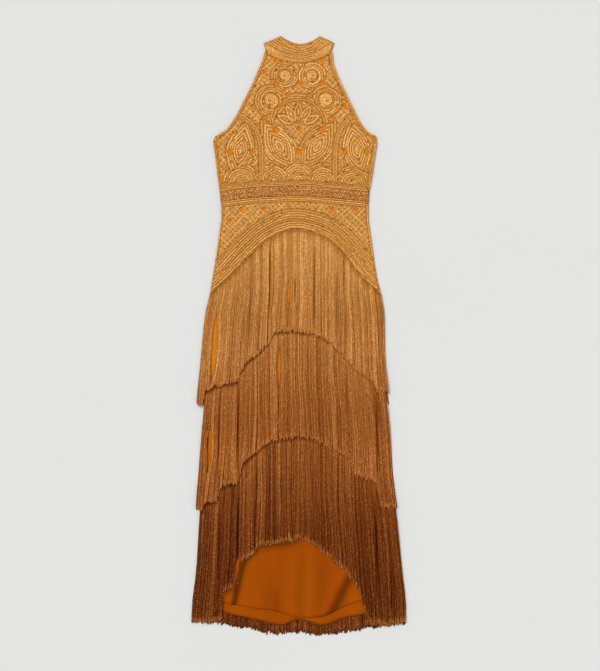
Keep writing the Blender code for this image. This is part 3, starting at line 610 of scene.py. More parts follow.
@dataclass
class Finishes:
    """Every material of the dress, made once."""

    # The yarn grows darker towards the hem: partly its ombre dye, partly painted fall-off of light.
    yarn: bpy.types.Material = field(default_factory=lambda: ThreadFinish(
        "fringe_yarn",
        ((-740.0, (0.166, 0.033, 0.0025)), (-480.0, (0.214, 0.046, 0.0043)), (-300.0, (0.350, 0.100, 0.0150)),
         (-120.0, (0.420, 0.143, 0.026)), (60.0, (0.550, 0.235, 0.053)), (260.0, (0.700, 0.350, 0.092))),
        tip_share=0.46, painted_shadow_reach=13.0, fleck_size=(1.7, 4.5), fleck=0.22, glint_share=0.06, glint_gain=1.2,
        ply_length=3.2).build())
    cord: bpy.types.Material = field(default_factory=lambda: ThreadFinish(
        "lace_cord",
        ((100.0, (0.705, 0.348, 0.086)), (400.0, (0.700, 0.344, 0.087)), (730.0, (0.745, 0.377, 0.102))),
        glint_colour=(0.80, 0.53, 0.27), glint_share=0.30, glint_gain=1.0, fleck_size=(3.6, 3.6), fleck=0.32,
        ply_length=2.4).build())
    ground: bpy.types.Material = field(default_factory=lambda: GroundFinish(
        "lace_ground", (0.590, 0.243, 0.038), (0.395, 0.138, 0.016)).build())
    plait: bpy.types.Material = field(default_factory=lambda: ThreadFinish(
        "waist_plait", ((320.0, (0.550, 0.220, 0.038)), (370.0, (0.550, 0.220, 0.038))),
        glint_colour=(0.70, 0.48, 0.38), glint_share=0.4, glint_gain=1.0, fleck_size=(3.2, 3.2), fleck=0.48,
        ply_length=2.0, roughness=0.35, metallic=0.3).build())
    band_ground: bpy.types.Material = field(default_factory=lambda: GroundFinish(
        "band_ground", (0.300, 0.115, 0.030), (0.130, 0.045, 0.012)).build())
    satin: bpy.types.Material = field(default_factory=lambda: SatinFinish().build())


@dataclass
class CordWork:
    """Cords laid on a panel: a half-round profile carried along each path, all in one mesh."""

    name: str
    material: bpy.types.Material
    face_down: bool = False
    seed: int = 1
    uneven: float = 0.09
    paths: list = field(default_factory=list)

    # Half-round profile of a cord: across and up, as shares of its width and height
    PROFILE = ((0.5, 0.0), (0.40, 0.66), (0.0, 1.0), (-0.40, 0.66), (-0.5, 0.0))
    END_SIZE = 0.6

    def lay(self, path: Array, width: object, height: float, level: object, shade: float = 1.0) -> None:
        """Add a cord along a path.

        Args:
            path: rows of x and y.
            width: the cord's width, one number or one for each row.
            height: how far it stands up.
            level: the height of its flat side, one number or one for each row.
            shade: how much lighter or darker than the others it is.
        """
        if len(path) >= 2:
            count = len(path)
            self.paths.append((np.asarray(path, float), np.broadcast_to(width, count), height,
                               np.broadcast_to(level, count), shade))

    def lay_kept(self, path: Array, kept: Array, width: object, height: float, level: object,
                 shade: float = 1.0, every: int = 1, shortest: int = 3) -> None:
        """Add a cord along each run of the path's points that are kept.

        Args:
            path: rows of x and y.
            kept: which of them the cord may pass.
            width: the cord's width.
            height: how far it stands up.
            level: the height of its flat side.
            shade: how much lighter or darker than the others it is.
            every: how many points of the path make one step of the mesh.
            shortest: the fewest points that make a run.
        """
        level, width = (np.broadcast_to(value, len(path)) for value in (level, width))
        ends = np.flatnonzero(np.diff(np.concatenate([[0], kept.astype(int), [0]])))
        for start, end in zip(ends[::2], ends[1::2]):
            if end - start >= shortest:
                rows = np.unique(np.append(np.arange(start, end, every), end - 1))
                self.lay(path[rows], width[rows], height, level[rows], shade)

    def footprint(self, spacing: float = 1.5, first: int = 0) -> Array:
        """Return places all along the middles of the cords from the first one on."""
        return np.vstack([even_line(path, spacing) for path, *_ in self.paths[first:]])

    def build(self) -> bpy.types.Object:
        """Return the mesh, with each cord's own shade and its UV map along it."""
        draw = np.random.default_rng(self.seed)
        profile = np.array(self.PROFILE)
        sides = len(profile)
        ring = np.arange(sides)
        turn = -1.0 if self.face_down else 1.0
        points, quads, flat, threes, us, vs, shades = [], [], [], [], [], [], []
        first = 0
        for path, width, height, level, shade in self.paths:
            count = len(path)
            size = np.ones(count)
            size[[0, -1]] = self.END_SIZE
            out = profile[:, 0] * (width * size)[:, None]
            place = path[:, None, :] - to_the_left(path)[:, None, :] * out[:, :, None]
            z = level[:, None] + turn * profile[:, 1] * height * size[:, None]
            points.append(np.dstack([place, z]).reshape(-1, 3))
            row = np.arange(count - 1)[:, None] * sides
            after = np.roll(ring, -1)
            walls = np.stack([row + ring, row + sides + ring, row + sides + after, row + after], axis=2)
            last = (count - 1) * sides
            ends = np.array([[0, 1, 3, 4], [last + 4, last + 3, last + 1, last]])
            peaks = np.array([[1, 2, 3], [last + 3, last + 2, last + 1]])
            if self.face_down:
                walls, ends, peaks = walls[:, :, ::-1], ends[:, ::-1], peaks[:, ::-1]
            quads.append(walls[:, :-1].reshape(-1, 4) + first)
            flat += [walls[:, -1] + first, ends + first]
            threes.append(peaks + first)
            us.append(np.tile(ring / sides, count))
            vs.append(np.repeat(length_along(path) * MM, sides))
            shades.append(np.full(count * sides, shade * draw.normal(1.0, self.uneven)))
            first += count * sides
        blocks = [np.vstack(quads), np.vstack(flat), np.vstack(threes)]
        piece = new_mesh(self.name, np.vstack(points), blocks, self.material, (True, False, False))
        set_uv(piece, np.concatenate(us), np.concatenate(vs))
        set_number(piece, "shade", np.clip(np.concatenate(shades), 0.4, 1.6))
        return piece

    def finish(self, slot: str) -> bpy.types.Object:
        """Make the mesh and dress it."""
        piece = self.build()
        dress_piece(piece, slot)
        return piece


class Footprint:
    """A grid of small cells that remembers which places of the dress are taken."""

    LOW = np.array([-270.0, 60.0])
    SHAPE = (540, 700)

    def __init__(self) -> None:
        """Start with every cell free."""
        self.taken = np.zeros(self.SHAPE, bool)

    def cells(self, x: Array, y: Array) -> tuple[Array, Array]:
        """Return the cells that places fall in."""
        i = np.clip(np.round(np.asarray(x) - self.LOW[0]).astype(int), 0, self.SHAPE[0] - 1)
        j = np.clip(np.round(np.asarray(y) - self.LOW[1]).astype(int), 0, self.SHAPE[1] - 1)
        return i, j

    def stamp(self, places: Array, radius: float) -> None:
        """Take every cell within the radius of the places."""
        reach = np.arange(-int(radius), int(radius) + 1)
        dx, dy = (a.ravel() for a in np.meshgrid(reach, reach))
        near = np.hypot(dx, dy) <= radius
        x = places[:, 0, None] + dx[near]
        y = places[:, 1, None] + dy[near]
        self.taken[self.cells(x, y)] = True

    def covers(self, x: Array, y: Array) -> Array:
        """Tell which places are taken."""
        return self.taken[self.cells(x, y)]


def clear_of_gaps(x: Array, y: Array, gaps: Array, reach: float) -> Array:
    """Tell which places are clear of every diamond gap: the steps across and up add to the reach or more."""
    steps = np.abs(x[:, None] - gaps[:, 0]) + np.abs(y[:, None] - gaps[:, 1])
    return (steps > reach).all(axis=1)


def node_points(node: str) -> tuple[Array, Array]:
    """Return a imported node's joined points in millimetres and its triangles."""
    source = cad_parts[node].data
    corners = read_all(source.vertices, "co", 3).astype(float) / MM
    faces = read_all(source.polygons, "vertices", 3, np.int32)
    _, first, joined = np.unique(np.round(corners, 2), axis=0, return_index=True, return_inverse=True)
    return corners[first], joined.reshape(-1)[faces]


def thin_ground(node: str, name: str, material: bpy.types.Material, share: float = 0.3,
                from_top: bool = False) -> bpy.types.Object:
    """Make the thin cloth of a panel: its node's form, pressed towards one side.

    Args:
        node: the node's name.
        name: the new piece's name.
        material: its finish.
        share: how much of the thickness is left.
        from_top: whether the top stays where it is, and not the underside.

    Returns:
        The new piece.
    """
    points, faces = node_points(node)
    still = points[:, 2].max() if from_top else points[:, 2].min()
    points[:, 2] = still + (points[:, 2] - still) * share
    return new_mesh(name, points, [faces], material)


def dress_piece(piece: bpy.types.Object, slot: str, *nodes: str) -> None:
    """Let a piece ride with the dress, and let it stand for its nodes."""
    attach(piece, BODY)
    if nodes:
        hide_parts(*nodes)
    LOG.info("%s: %d faces", piece.name, len(piece.data.polygons))


def dress_cloth(piece: bpy.types.Object, slot: str, node: str) -> None:
    """Args:
        piece: the thin piece.
        slot: not used.
        node: the node that it stands for.
    """
    dress_piece(piece, slot, node)
    faces = piece.data.polygons
    width, length = np.ptp(read_all(piece.data.vertices, "co", 3), axis=0)[:2]
    covered = float(np.sum(np.maximum(read_all(faces, "normal", 3)[:, 2], 0.0) * read_all(faces, "area")))


@dataclass(frozen=True)
class Lattice:
    """Slanting pairs of cord, woven over and under, with a diamond gap at some crossings."""

    pitch: float = 14.0
    every: int = 4
    cord_width: float = 3.3
    cord_height: float = 1.6
    beside: float = 1.72
    weave: float = 0.5
    wobble: float = 0.5
    swing: float = 1.3
    step: float = 1.2
    gap_reach: float = 6.2

    def gap_centres(self, nodes: tuple[str, ...], reach: tuple[Array, Array]) -> Array:
        """Return the crossings that the panels are cut through at.

        Args:
            nodes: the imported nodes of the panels.
            reach: lowest and highest corner of the panels.

        Returns:
            Rows of x and y, where a line straight down meets no node.
        """
        low, high = (np.round(corner / self.pitch).astype(int) for corner in reach)
        column, row = (a.ravel() for a in np.meshgrid(np.arange(low[0], high[0] + 1),
                                                      np.arange(low[1], high[1] + 1)))
        chosen = ((row + column) % self.every == 0) & ((row - column) % self.every == 0)
        places = np.column_stack([column, row])[chosen] * self.pitch
        panels = [BVHTree.FromPolygons(*(part.tolist() for part in node_points(node))) for node in nodes]
        down = Vector((0.0, 0.0, -1.0))
        open_here = [all(panel.ray_cast(Vector((x, y, 100.0)), down)[0] is None for panel in panels)
                     for x, y in places]
        return places[np.array(open_here)]

    def weave_on(self, work: CordWork, free: Callable[[Array, Array], Array], gaps: Array, level: float,
                 reach: tuple[Array, Array]) -> None:
        """Lay both families of pairs wherever the panel is free.

        A cord keeps one slanting coordinate, but for a sine that is nought in
        line with the gaps; along the other one its level is a cosine that is
        high where it passes over a crossing pair and low where it passes
        under.

        Args:
            work: the cords of the panel.
            free: tells which places the lattice may cover.
            gaps: centres of the diamond gaps.
            level: height of the lower cords' undersides.
            reach: lowest and highest corner of the panel.
        """
        draw = np.random.default_rng(7)
        root = math.sqrt(2.0)
        cell = self.pitch / root
        corners = np.array([(x, y) for x in (reach[0][0], reach[1][0]) for y in (reach[0][1], reach[1][1])])
        for turn in (1.0, -1.0):
            own = (corners[:, 1] - turn * corners[:, 0]) / root
            other = (corners[:, 1] * turn + corners[:, 0]) / root
            along = np.arange(other.min(), other.max(), self.step)
            gap_own = (gaps[:, 1] - turn * gaps[:, 0]) / root
            gap_other = (gaps[:, 1] * turn + gaps[:, 0]) / root
            for number in range(int(own.min() // cell), int(own.max() // cell) + 1):
                middle = (number + 0.5) * cell
                lift = self.weave * (1.0 + turn * (-1) ** number * np.cos(math.pi * (along / cell - 0.5)))
                swing = self.swing * draw.uniform(-1.0, 1.0)
                swing = swing * np.sin(2 * math.pi * along / (self.every * cell))
                for side in (-1.0, 1.0):
                    across = middle + side * self.beside
                    near = np.abs(gap_own - across) < cell / 2
                    sway = draw.uniform(0.3, 1.0) * self.wobble * np.sin(
                        along / draw.uniform(7.0, 16.0) + draw.uniform(0.0, 6.3))
                    across = across + sway + swing
                    path = np.column_stack([along - turn * across, turn * along + across]) / root
                    cut = (np.abs(along[:, None] - gap_other[near]) < self.gap_reach).any(axis=1)
                    kept = free(path[:, 0], path[:, 1]) & ~cut
                    work.lay_kept(path, kept, self.cord_width * draw.uniform(0.86, 1.12), self.cord_height,
                                  level + lift, draw.normal(1.0, 0.06), every=3, shortest=4)


BACK_LATTICE = Lattice(pitch=26.0, every=2, cord_width=4.6, cord_height=1.2, beside=3.6, weave=0.0, step=4.0,
                       gap_reach=8.0)
BACK_CORD_LEVEL = 1.25


def lay_back_lattice(node: str, finish: bpy.types.Material, seed: int, reach: tuple[Array, Array],
                     free: Callable[[Array, Array], Array]) -> bpy.types.Object:
    """Lay plain slanting pairs of cord on a back panel, facing the floor, and dress them.

    Args:
        node: the panel's node.
        finish: the cords' finish.
        seed: what their shades are drawn from.
        reach: lowest and highest corner of the panel.
        free: tells which places the cords may cover.

    Returns:
        The cords.
    """
    gaps = BACK_LATTICE.gap_centres((node,), reach)
    cords = CordWork(node + "_cords", finish, face_down=True, seed=seed)
    BACK_LATTICE.weave_on(cords, free, gaps[free(*gaps.T)], BACK_CORD_LEVEL, reach)
    return cords.finish("lace")


class Ornament:
    """Shapes of the corded motifs, each a list of lines that cords follow."""

    SPACING = 2.5
    SCROLL_START = 0.16
    SCROLL_TURNS = 1.75

    @classmethod
    def arc(cls, centre: tuple[float, float], radius: float, start: float = 0.0, end: float = 360.0) -> Array:
        """Return part of a ring about a centre, between two angles in degrees."""
        span = math.radians(end - start)
        angle = math.radians(start) + np.linspace(0.0, span, max(7, int(abs(span) * radius / cls.SPACING)))
        return np.column_stack([centre[0] + radius * np.cos(angle), centre[1] + radius * np.sin(angle)])

    @classmethod
    def loop(cls, centre: tuple[float, float], length: float, half_width: float, tilt: float,
             more: float = 0.0) -> Array:
        """Return a pointed loop, a sine's half wave to each side of its length, grown by a distance."""
        turn = math.radians(tilt)
        size = 1.0 + more / half_width
        t = np.linspace(0.0, 1.0, max(6, int(length * size / cls.SPACING)))
        along = np.concatenate([(t - 0.5) * length * size, (0.5 - t) * length * size])
        out = np.concatenate([np.sin(math.pi * t), -np.sin(math.pi * t)]) * half_width * size
        return np.column_stack([centre[0] + out * math.cos(turn) + along * math.sin(turn),
                                centre[1] - out * math.sin(turn) + along * math.cos(turn)])

    @classmethod
    def leaf(cls, centre: tuple[float, float], length: float, half_width: float, tilt: float,
             pitch: float) -> list[Array]:
        """Return loops nested a pitch apart, and the midrib."""
        turn = math.radians(tilt)
        lines = [cls.loop(centre, length, half_width, tilt, -more)
                 for more in np.arange(0.0, half_width - 2.0, pitch)]
        reach = np.linspace(-0.2, 0.2, 7) * length
        lines.append(np.column_stack([centre[0] + reach * math.sin(turn),
                                      centre[1] + reach * math.cos(turn)]))
        return lines

    @classmethod
    def scroll(cls, centre: tuple[float, float], radius: float, hand: float, beside: float,
               turns: float = SCROLL_TURNS) -> list[Array]:
        """Return a rolled pair of cords: the radius grows evenly with the angle, the second one inside."""
        t = np.linspace(0.0, 1.0, max(12, int(math.pi * turns * radius / cls.SPACING)))
        angle = 2 * math.pi * turns * t
        lines = []
        for inward in (0.0, beside):
            reach = np.maximum((cls.SCROLL_START + (1.0 - cls.SCROLL_START) * t) * radius - inward, 0.6)
            kept = reach > 1.0
            lines.append(np.column_stack([centre[0] + hand * reach * np.cos(angle),
                                          centre[1] + reach * np.sin(angle)])[kept])
        return lines


@dataclass
class LaceBodice:
    """The corded lace of the bodice: three front panels and two back panels on their nets."""

    finishes: Finishes
    lattice: Lattice = field(default_factory=Lattice)
    motif_pitch: float = 5.6
    motif_width: float = 5.3
    motif_height: float = 1.9
    motif_margin: float = 8.0
    echoes: int = 3
    echo_sway: float = 0.55
    echo_room: float = 9.4
    worn: float = 0.025
    border_width: float = 3.2
    border_height: float = 1.9
    border_fade: float = 0.07
    seam_rows: tuple[tuple[float, float, float], ...] = ((-3.1, 3.4, 1.0), (0.0, 2.4, 0.9), (3.1, 3.4, 1.0))
    seam_height: float = 1.6
    seam_margin: float = 7.5
    seam_room: float = 8.6
    fan_rise: float = 9.5
    fan_feet: tuple[float, ...] = (-140.0, -60.0, 0.0, 60.0, 131.0)
    fan_radius: float = 26.0
    big_leaf: tuple[float, ...] = (46.0, 462.0, 80.0, 18.5, 34.0)
    side_leaf: tuple[float, ...] = (142.0, 452.0, 64.0, 15.0, -12.0)
    scrolls: tuple[tuple[float, float, float], ...] = ((68.0, 574.0, 18.5), (34.0, 634.0, 14.0))
    palmette_foot: tuple[float, float] = (0.0, 512.0)
    palmette_tilts: tuple[float, ...] = (-64.0, -32.0, 0.0, 32.0, 64.0)
    palmette_leaf: tuple[float, float] = (42.0, 7.5)
    palmette_spread: float = 0.82
    palmette_arch: float = 59.0
    eyelet_radius: float = 10.5
    stamp: float = 4.3

    def __post_init__(self) -> None:
        """Work out the outline's functions."""
        self.left, self.right = edge_places(BODY_EDGES)
        self.waist = line_height(WAIST_TOP)

    def inside(self, x: Array, y: Array, margin: float) -> Array:
        """Tell which places lie on the front of the bodice, a margin inside its sides."""
        lean = np.hypot(1.0, (self.left(y + 6.0) - self.left(y - 6.0)) / 12.0)
        kept = (x > self.left(y) + margin * lean) & (x < self.right(y) - margin * lean)
        return kept & (y > self.waist(x) + margin) & (y < neck_seam(x) - margin)

    def border_lines(self) -> list[Array]:
        """Return the lines that border cords keep to: both sides, waist, neck and princess seams."""
        lines = []
        for low, high in ((473.0, 700.0), (350.0, 474.0)):
            rows = [row for row in BODY_EDGES if low < row[0] < high]
            lines.append(smooth_line([(row[1], row[0]) for row in rows]))
            lines.append(smooth_line([(row[2], row[0]) for row in rows])[::-1])
        lines.append(smooth_line(WAIST_TOP))
        across = np.linspace(NECK_HALF, -NECK_HALF, 30)
        lines.append(np.column_stack([across, neck_seam(across)]))
        return lines

    def motif_lines(self) -> list[Array]:
        """Return every line of the fans, leaves, scrolls and palmette."""
        pitch = self.motif_pitch
        lines = [Ornament.arc((foot, self.waist(foot) + self.fan_rise), radius, 0.0, 180.0)
                 for foot in self.fan_feet for radius in np.arange(self.fan_radius, pitch / 2, -pitch)]
        for hand in (-1.0, 1.0):
            for x, y, length, half_width, tilt in (self.big_leaf, self.side_leaf):
                lines += Ornament.leaf((hand * x, y), length, half_width, hand * tilt, pitch)
            for x, y, radius in self.scrolls:
                lines += Ornament.scroll((hand * x, y), radius, hand, 3.7)
        length, half_width = self.palmette_leaf
        for tilt in self.palmette_tilts:
            turn = math.radians(tilt)
            reach = self.palmette_spread * length
            x, y = self.palmette_foot
            centre = (x + reach * math.sin(turn), y + reach * math.cos(turn))
            lines += Ornament.leaf(centre, length, half_width, tilt, pitch)
        return lines

    def echo_lines(self, more: float) -> list[Array]:
        """Return the lines that run round every motif, this far outside it."""
        lines = [Ornament.arc((foot, self.waist(foot) + self.fan_rise), self.fan_radius + more, 0.0, 180.0)
                 for foot in self.fan_feet]
        lines.append(Ornament.arc(self.palmette_foot, self.palmette_arch + more, 4.0, 176.0))
        for hand in (-1.0, 1.0):
            for x, y, radius in self.scrolls:
                lines.append(Ornament.arc((hand * x, y), radius + more))
            for x, y, length, half_width, tilt in (self.big_leaf, self.side_leaf):
                lines.append(Ornament.loop((hand * x, y), length, half_width, hand * tilt, more))
        return lines

    def eyelets(self, footprint: Footprint) -> list[Array]:
        """Return rings and small scrolls halfway between the gaps, wherever there is room for one."""
        half = 2 * self.lattice.pitch
        ring = Ornament.arc((0.0, 0.0), self.eyelet_radius)
        lines = []
        for column in range(-7, 8):
            for row in range(12, 25):
                x, y = column * half, row * half
                round_it = ring + (x, y)
                if (row + column) % 2 == 0 or footprint.covers(*round_it.T).any():
                    continue
                if not self.inside(*round_it.T, 6.0).all():
                    continue
                if (row + 3 * column) % 4 == 1:
                    lines += [round_it, Ornament.arc((x, y), self.eyelet_radius - self.motif_pitch)]
                else:
                    turn = 1.0 if x < 0.0 else -1.0
                    lines += Ornament.scroll((x, y), self.eyelet_radius, turn, 99.0, 1.6)[:1]
        return lines

    def lay_front(self, work: CordWork, footprint: Footprint, gaps: Array) -> None:
        """Lay borders and motifs, then the lines round them, and take their places from the lattice."""
        draw = np.random.default_rng(3)
        for line in self.border_lines():
            for row in range(2):
                path = swayed(moved_aside(line, self.border_width * (row + 0.5) - 0.5), draw, 0.2)
                kept = self.inside(*path.T, 0.4 + self.border_width * row)
                work.lay_kept(path, kept, self.border_width, self.border_height, CORD_LEVEL + 0.2,
                              0.97 - self.border_fade * row)
        for seam in PRINCESS:
            for aside, width, shade in self.seam_rows:
                path = moved_aside(smooth_line(seam), aside)
                kept = self.inside(*path.T, self.seam_margin) & clear_of_gaps(*path.T, gaps, self.seam_room)
                work.lay_kept(path, kept, width, self.seam_height, CORD_LEVEL + 0.3, shade)
        footprint.stamp(work.footprint(), 2.9)
        for line in self.motif_lines():
            kept = self.inside(*line.T, self.motif_margin) & (draw.uniform(size=len(line)) > self.worn / 2)
            work.lay_kept(line, kept, self.motif_width * draw.uniform(0.9, 1.12), self.motif_height,
                          CORD_LEVEL + 0.2, draw.normal(1.02, 0.06))
        footprint.stamp(work.footprint(), self.stamp)
        for number in range(self.echoes + 1):
            last = number == self.echoes
            lines = self.eyelets(footprint) if last else self.echo_lines((number + 1) * self.motif_pitch)
            for line in lines:
                line = swayed(line, draw, 0.0 if last else self.echo_sway)
                kept = self.inside(*line.T, self.motif_margin) & ~footprint.covers(*line.T)
                kept &= clear_of_gaps(*line.T, gaps, self.echo_room)
                kept &= draw.uniform(size=len(line)) > self.worn
                before = len(work.paths)
                work.lay_kept(line, kept, self.motif_width * draw.uniform(0.9, 1.1), self.motif_height - 0.2,
                              CORD_LEVEL + 0.2, draw.normal(1.0, 0.08), shortest=4)
                if len(work.paths) > before:
                    footprint.stamp(work.footprint(first=before), self.stamp)

    def dress(self) -> None:
        """Make nets and cords, front and back."""
        fronts = ("bodice_front_centre", "bodice_front_left", "bodice_front_right")
        reach = (np.array([-212.0, 352.0]), np.array([194.0, 700.0]))
        cords = CordWork("bodice_front_cords", self.finishes.cord, seed=11)
        gaps = self.lattice.gap_centres(fronts, reach)
        gaps = gaps[self.inside(*gaps.T, 6.0)]
        LOG.info("bodice gaps: %d", len(gaps))
        footprint = Footprint()
        self.lay_front(cords, footprint, gaps)

        def free(x: Array, y: Array) -> Array:
            """Tell which places no motif takes."""
            return self.inside(x, y, 3.0) & ~footprint.covers(x, y)

        self.lattice.weave_on(cords, free, gaps, CORD_LEVEL, reach)
        front = cords.finish("lace")
        for node in fronts:
            net = thin_ground(node, node + "_net", self.finishes.ground)
            dress_cloth(net, "lace", node)
        for node in ("bodice_back_left", "bodice_back_right"):
            self.dress_back(node)

    def dress_back(self, node: str) -> None:
        """Make a back panel, whose cords face the floor."""
        net = thin_ground(node, node + "_net", self.finishes.ground, 0.35, from_top=True)
        low, high = (np.array(corner[:2]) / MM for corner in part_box(node))

        def free(x: Array, y: Array) -> Array:
            """Tell which places lie on this panel, below the collar's seam."""
            beside = (x > low[0] + 3.0) & (x < high[0] - 3.0)
            return beside & self.inside(x, np.minimum(y, NECK_LOW), 3.0) & (y < BACK_SEAM_LOW - 4.0)

        cords = lay_back_lattice(node, self.finishes.cord, 21, (low, high), free)
        dress_cloth(net, "lace", node)


@dataclass
class Yoke:
    """The hip yoke: thick cords that follow the arch, and lattice in the corners above them."""

    finishes: Finishes
    lattice: Lattice = field(default_factory=Lattice)
    rows: int = 8
    row_pitch: float = 5.8
    first_row: float = 4.5
    row_width: float = 4.9
    row_height: float = 2.3
    worn: float = 0.02
    edge_width: float = 4.0
    side_aside: float = 2.2
    waist_asides: tuple[float, ...] = (-2.4, -6.9)

    def __post_init__(self) -> None:
        """Work out the outline's functions."""
        self.left, self.right = edge_places(BODY_EDGES)
        self.waist = line_height(WAIST_BOTTOM)
        self.arch_line = smooth_line(ARCH, 3.0)
        self.arch = line_height(self.arch_line)

    def inside(self, x: Array, y: Array, margin: float) -> Array:
        """Tell which places lie on the yoke, a margin inside its outline."""
        kept = (x > self.left(y) + margin) & (x < self.right(y) - margin)
        return kept & (y < self.waist(x) - margin) & (y > self.arch(x))

    def dress(self) -> None:
        """Make nets and cords, front and back."""
        cords = CordWork("yoke_front_cords", self.finishes.cord, seed=31)
        draw = np.random.default_rng(5)
        for row in range(self.rows):
            aside = self.first_row + row * self.row_pitch + draw.uniform(-0.6, 0.6)
            path = swayed(moved_aside(self.arch_line, aside), draw, 0.5)
            kept = self.inside(*path.T, 1.5) & (draw.uniform(size=len(path)) > self.worn)
            cords.lay_kept(path, kept, self.row_width * draw.uniform(0.88, 1.08), self.row_height, CORD_LEVEL,
                           draw.normal(1.0, 0.06))
        footprint = Footprint()
        footprint.stamp(cords.footprint(), 4.2)
        left, right = ([(row[side], row[0]) for row in BODY_EDGES if row[0] < 325.0] for side in (1, 2))
        edges = [(left, self.side_aside, 1.8), (right, -self.side_aside, 1.8)]
        edges += [(WAIST_BOTTOM, aside, 1.9) for aside in self.waist_asides]
        for points, aside, height in edges:
            path = moved_aside(smooth_line(points), aside)
            kept = self.inside(*path.T, 1.0) & ~footprint.covers(*path.T)
            cords.lay_kept(path, kept, self.edge_width, height, CORD_LEVEL)
        footprint.stamp(cords.footprint(), 3.0)
        reach = (np.array([-220.0, 100.0]), np.array([204.0, 338.0]))
        gaps = self.lattice.gap_centres(("yoke_front",), reach)
        gaps = gaps[self.inside(*gaps.T, 6.0)]
        LOG.info("yoke gaps: %d", len(gaps))

        def free(x: Array, y: Array) -> Array:
            """Tell which places no row or edge takes."""
            return self.inside(x, y, 2.0) & ~footprint.covers(x, y)

        self.lattice.weave_on(cords, free, gaps, CORD_LEVEL, reach)
        piece = cords.finish("lace")
        net = thin_ground("yoke_front", "yoke_front_net", self.finishes.ground)
        dress_cloth(net, "lace", "yoke_front")
        self.dress_back()

    def dress_back(self) -> None:
        """Make the back of the yoke, whose cords face the floor in plain slanting pairs."""
        reach = (np.array([-220.0, 88.0]), np.array([204.0, 338.0]))
        arch = line_height(BACK_ARCH)

        def free(x: Array, y: Array) -> Array:
            """Tell which places lie above the back's own arch."""
            beside = (x > self.left(y) + 3.0) & (x < self.right(y) - 3.0)
            return beside & (y < self.waist(x) - 3.0) & (y > arch(x) + 3.0)

        piece = lay_back_lattice("yoke_back", self.finishes.cord, 32, reach, free)
        net = thin_ground("yoke_back", "yoke_back_net", self.finishes.ground, 0.35, from_top=True)
        dress_cloth(net, "lace", "yoke_back")


@dataclass
class Collar:
    """The halter stand collar: rows of cord along its curve, front half over back half."""

    finishes: Finishes
    peaks: tuple[float, float] = (-42.6, 51.9)
    peak_height: float = 732.6
    front_dip: float = 701.3
    back_dip: float = 714.0
    front_seam: tuple[float, float] = (NECK_LOW, NECK_LOW + NECK_RISE)
    back_seam: tuple[float, float] = (688.0, 698.9)
    corners: tuple[tuple[float, float], ...] = ((-86.2, 714.5), (87.2, 716.0))
    corner_share: float = 0.5
    rows: int = 6
    between: float = 0.5
    drop: float = 2.2
    slope_run: float = 26.0

    # Places along a row, from its left end to its right one
    T = np.linspace(-1.0, 1.0, 46)

    def row(self, share: float, dip: float, seam: tuple[float, float], inset: float = 1.6) -> Array:
        """Return a row's line, from one side edge to the other.

        Its ends climb with the share along the neck seam's end, the corner
        and the peak. Between them the height is the middle's, plus the rest
        of the way to the end times the place across to a power.

        Args:
            share: how far up the collar the row lies, from 0 to 1.
            dip: height of the upper edge at the middle.
            seam: heights of the lower seam, at the middle and at its ends.
            inset: how far the row stops short of the edges.

        Returns:
            Rows of x and y.
        """
        stops = (0.0, self.corner_share, 1.0)
        t = self.T
        ends = []
        for side, sign in enumerate((-1.0, 1.0)):
            corner = self.corners[side]
            across = np.interp(share, stops, (sign * NECK_HALF, corner[0], self.peaks[side]))
            up = np.interp(share, stops, (seam[1], corner[1], self.peak_height))
            ends.append((across - sign * inset, up))
        middle = seam[0] + (dip - seam[0]) * share
        across = ends[0][0] + (ends[1][0] - ends[0][0]) * (t + 1.0) / 2.0
        rise = np.where(t < 0.0, ends[0][1], ends[1][1]) - middle
        return np.column_stack([across, middle + rise * np.abs(t) ** (2.0 - 0.2 * share)])

    def front_row(self, share: float) -> tuple[Array, Array]:
        """Return a front row's line, and its level, which falls from the neck seam to the collar's edge."""
        path = self.row(share, self.front_dip, self.front_seam)
        slope = np.clip((path[:, 1] - neck_seam(path[:, 0])) / self.slope_run, 0.0, 1.0)
        return path, CORD_LEVEL - self.drop * slope

    def dress(self) -> None:
        """Make both halves."""
        front = CordWork("collar_front_cords", self.finishes.cord, seed=41)
        side = np.abs(self.T)
        for number in range(self.rows):
            path, level = self.front_row((number + 0.5) / self.rows)
            front.lay(path, 4.7 + 0.8 * side ** 3, 2.1, level, 0.95)
            if number:
                path, level = self.front_row(number / self.rows)
                front.lay_kept(path, side > self.between, 4.1 * side, 1.9, level, 0.97)
        piece = front.finish("lace")
        net = thin_ground("collar_front", "collar_front_net", self.finishes.ground, 0.55)
        dress_cloth(net, "lace", "collar_front")
        back = CordWork("collar_back_cords", self.finishes.cord, seed=42)
        for number in range(self.rows - 1):
            path = self.row((number + 0.5) / (self.rows - 1), self.back_dip, self.back_seam)
            back.lay(path, 4.4 + 3.0 * side ** 2, 1.2, 1.0, 0.85)
        piece = back.finish("lace")
        net = thin_ground("collar_back", "collar_back_net", self.finishes.ground, 0.5)
        dress_cloth(net, "lace", "collar_back")


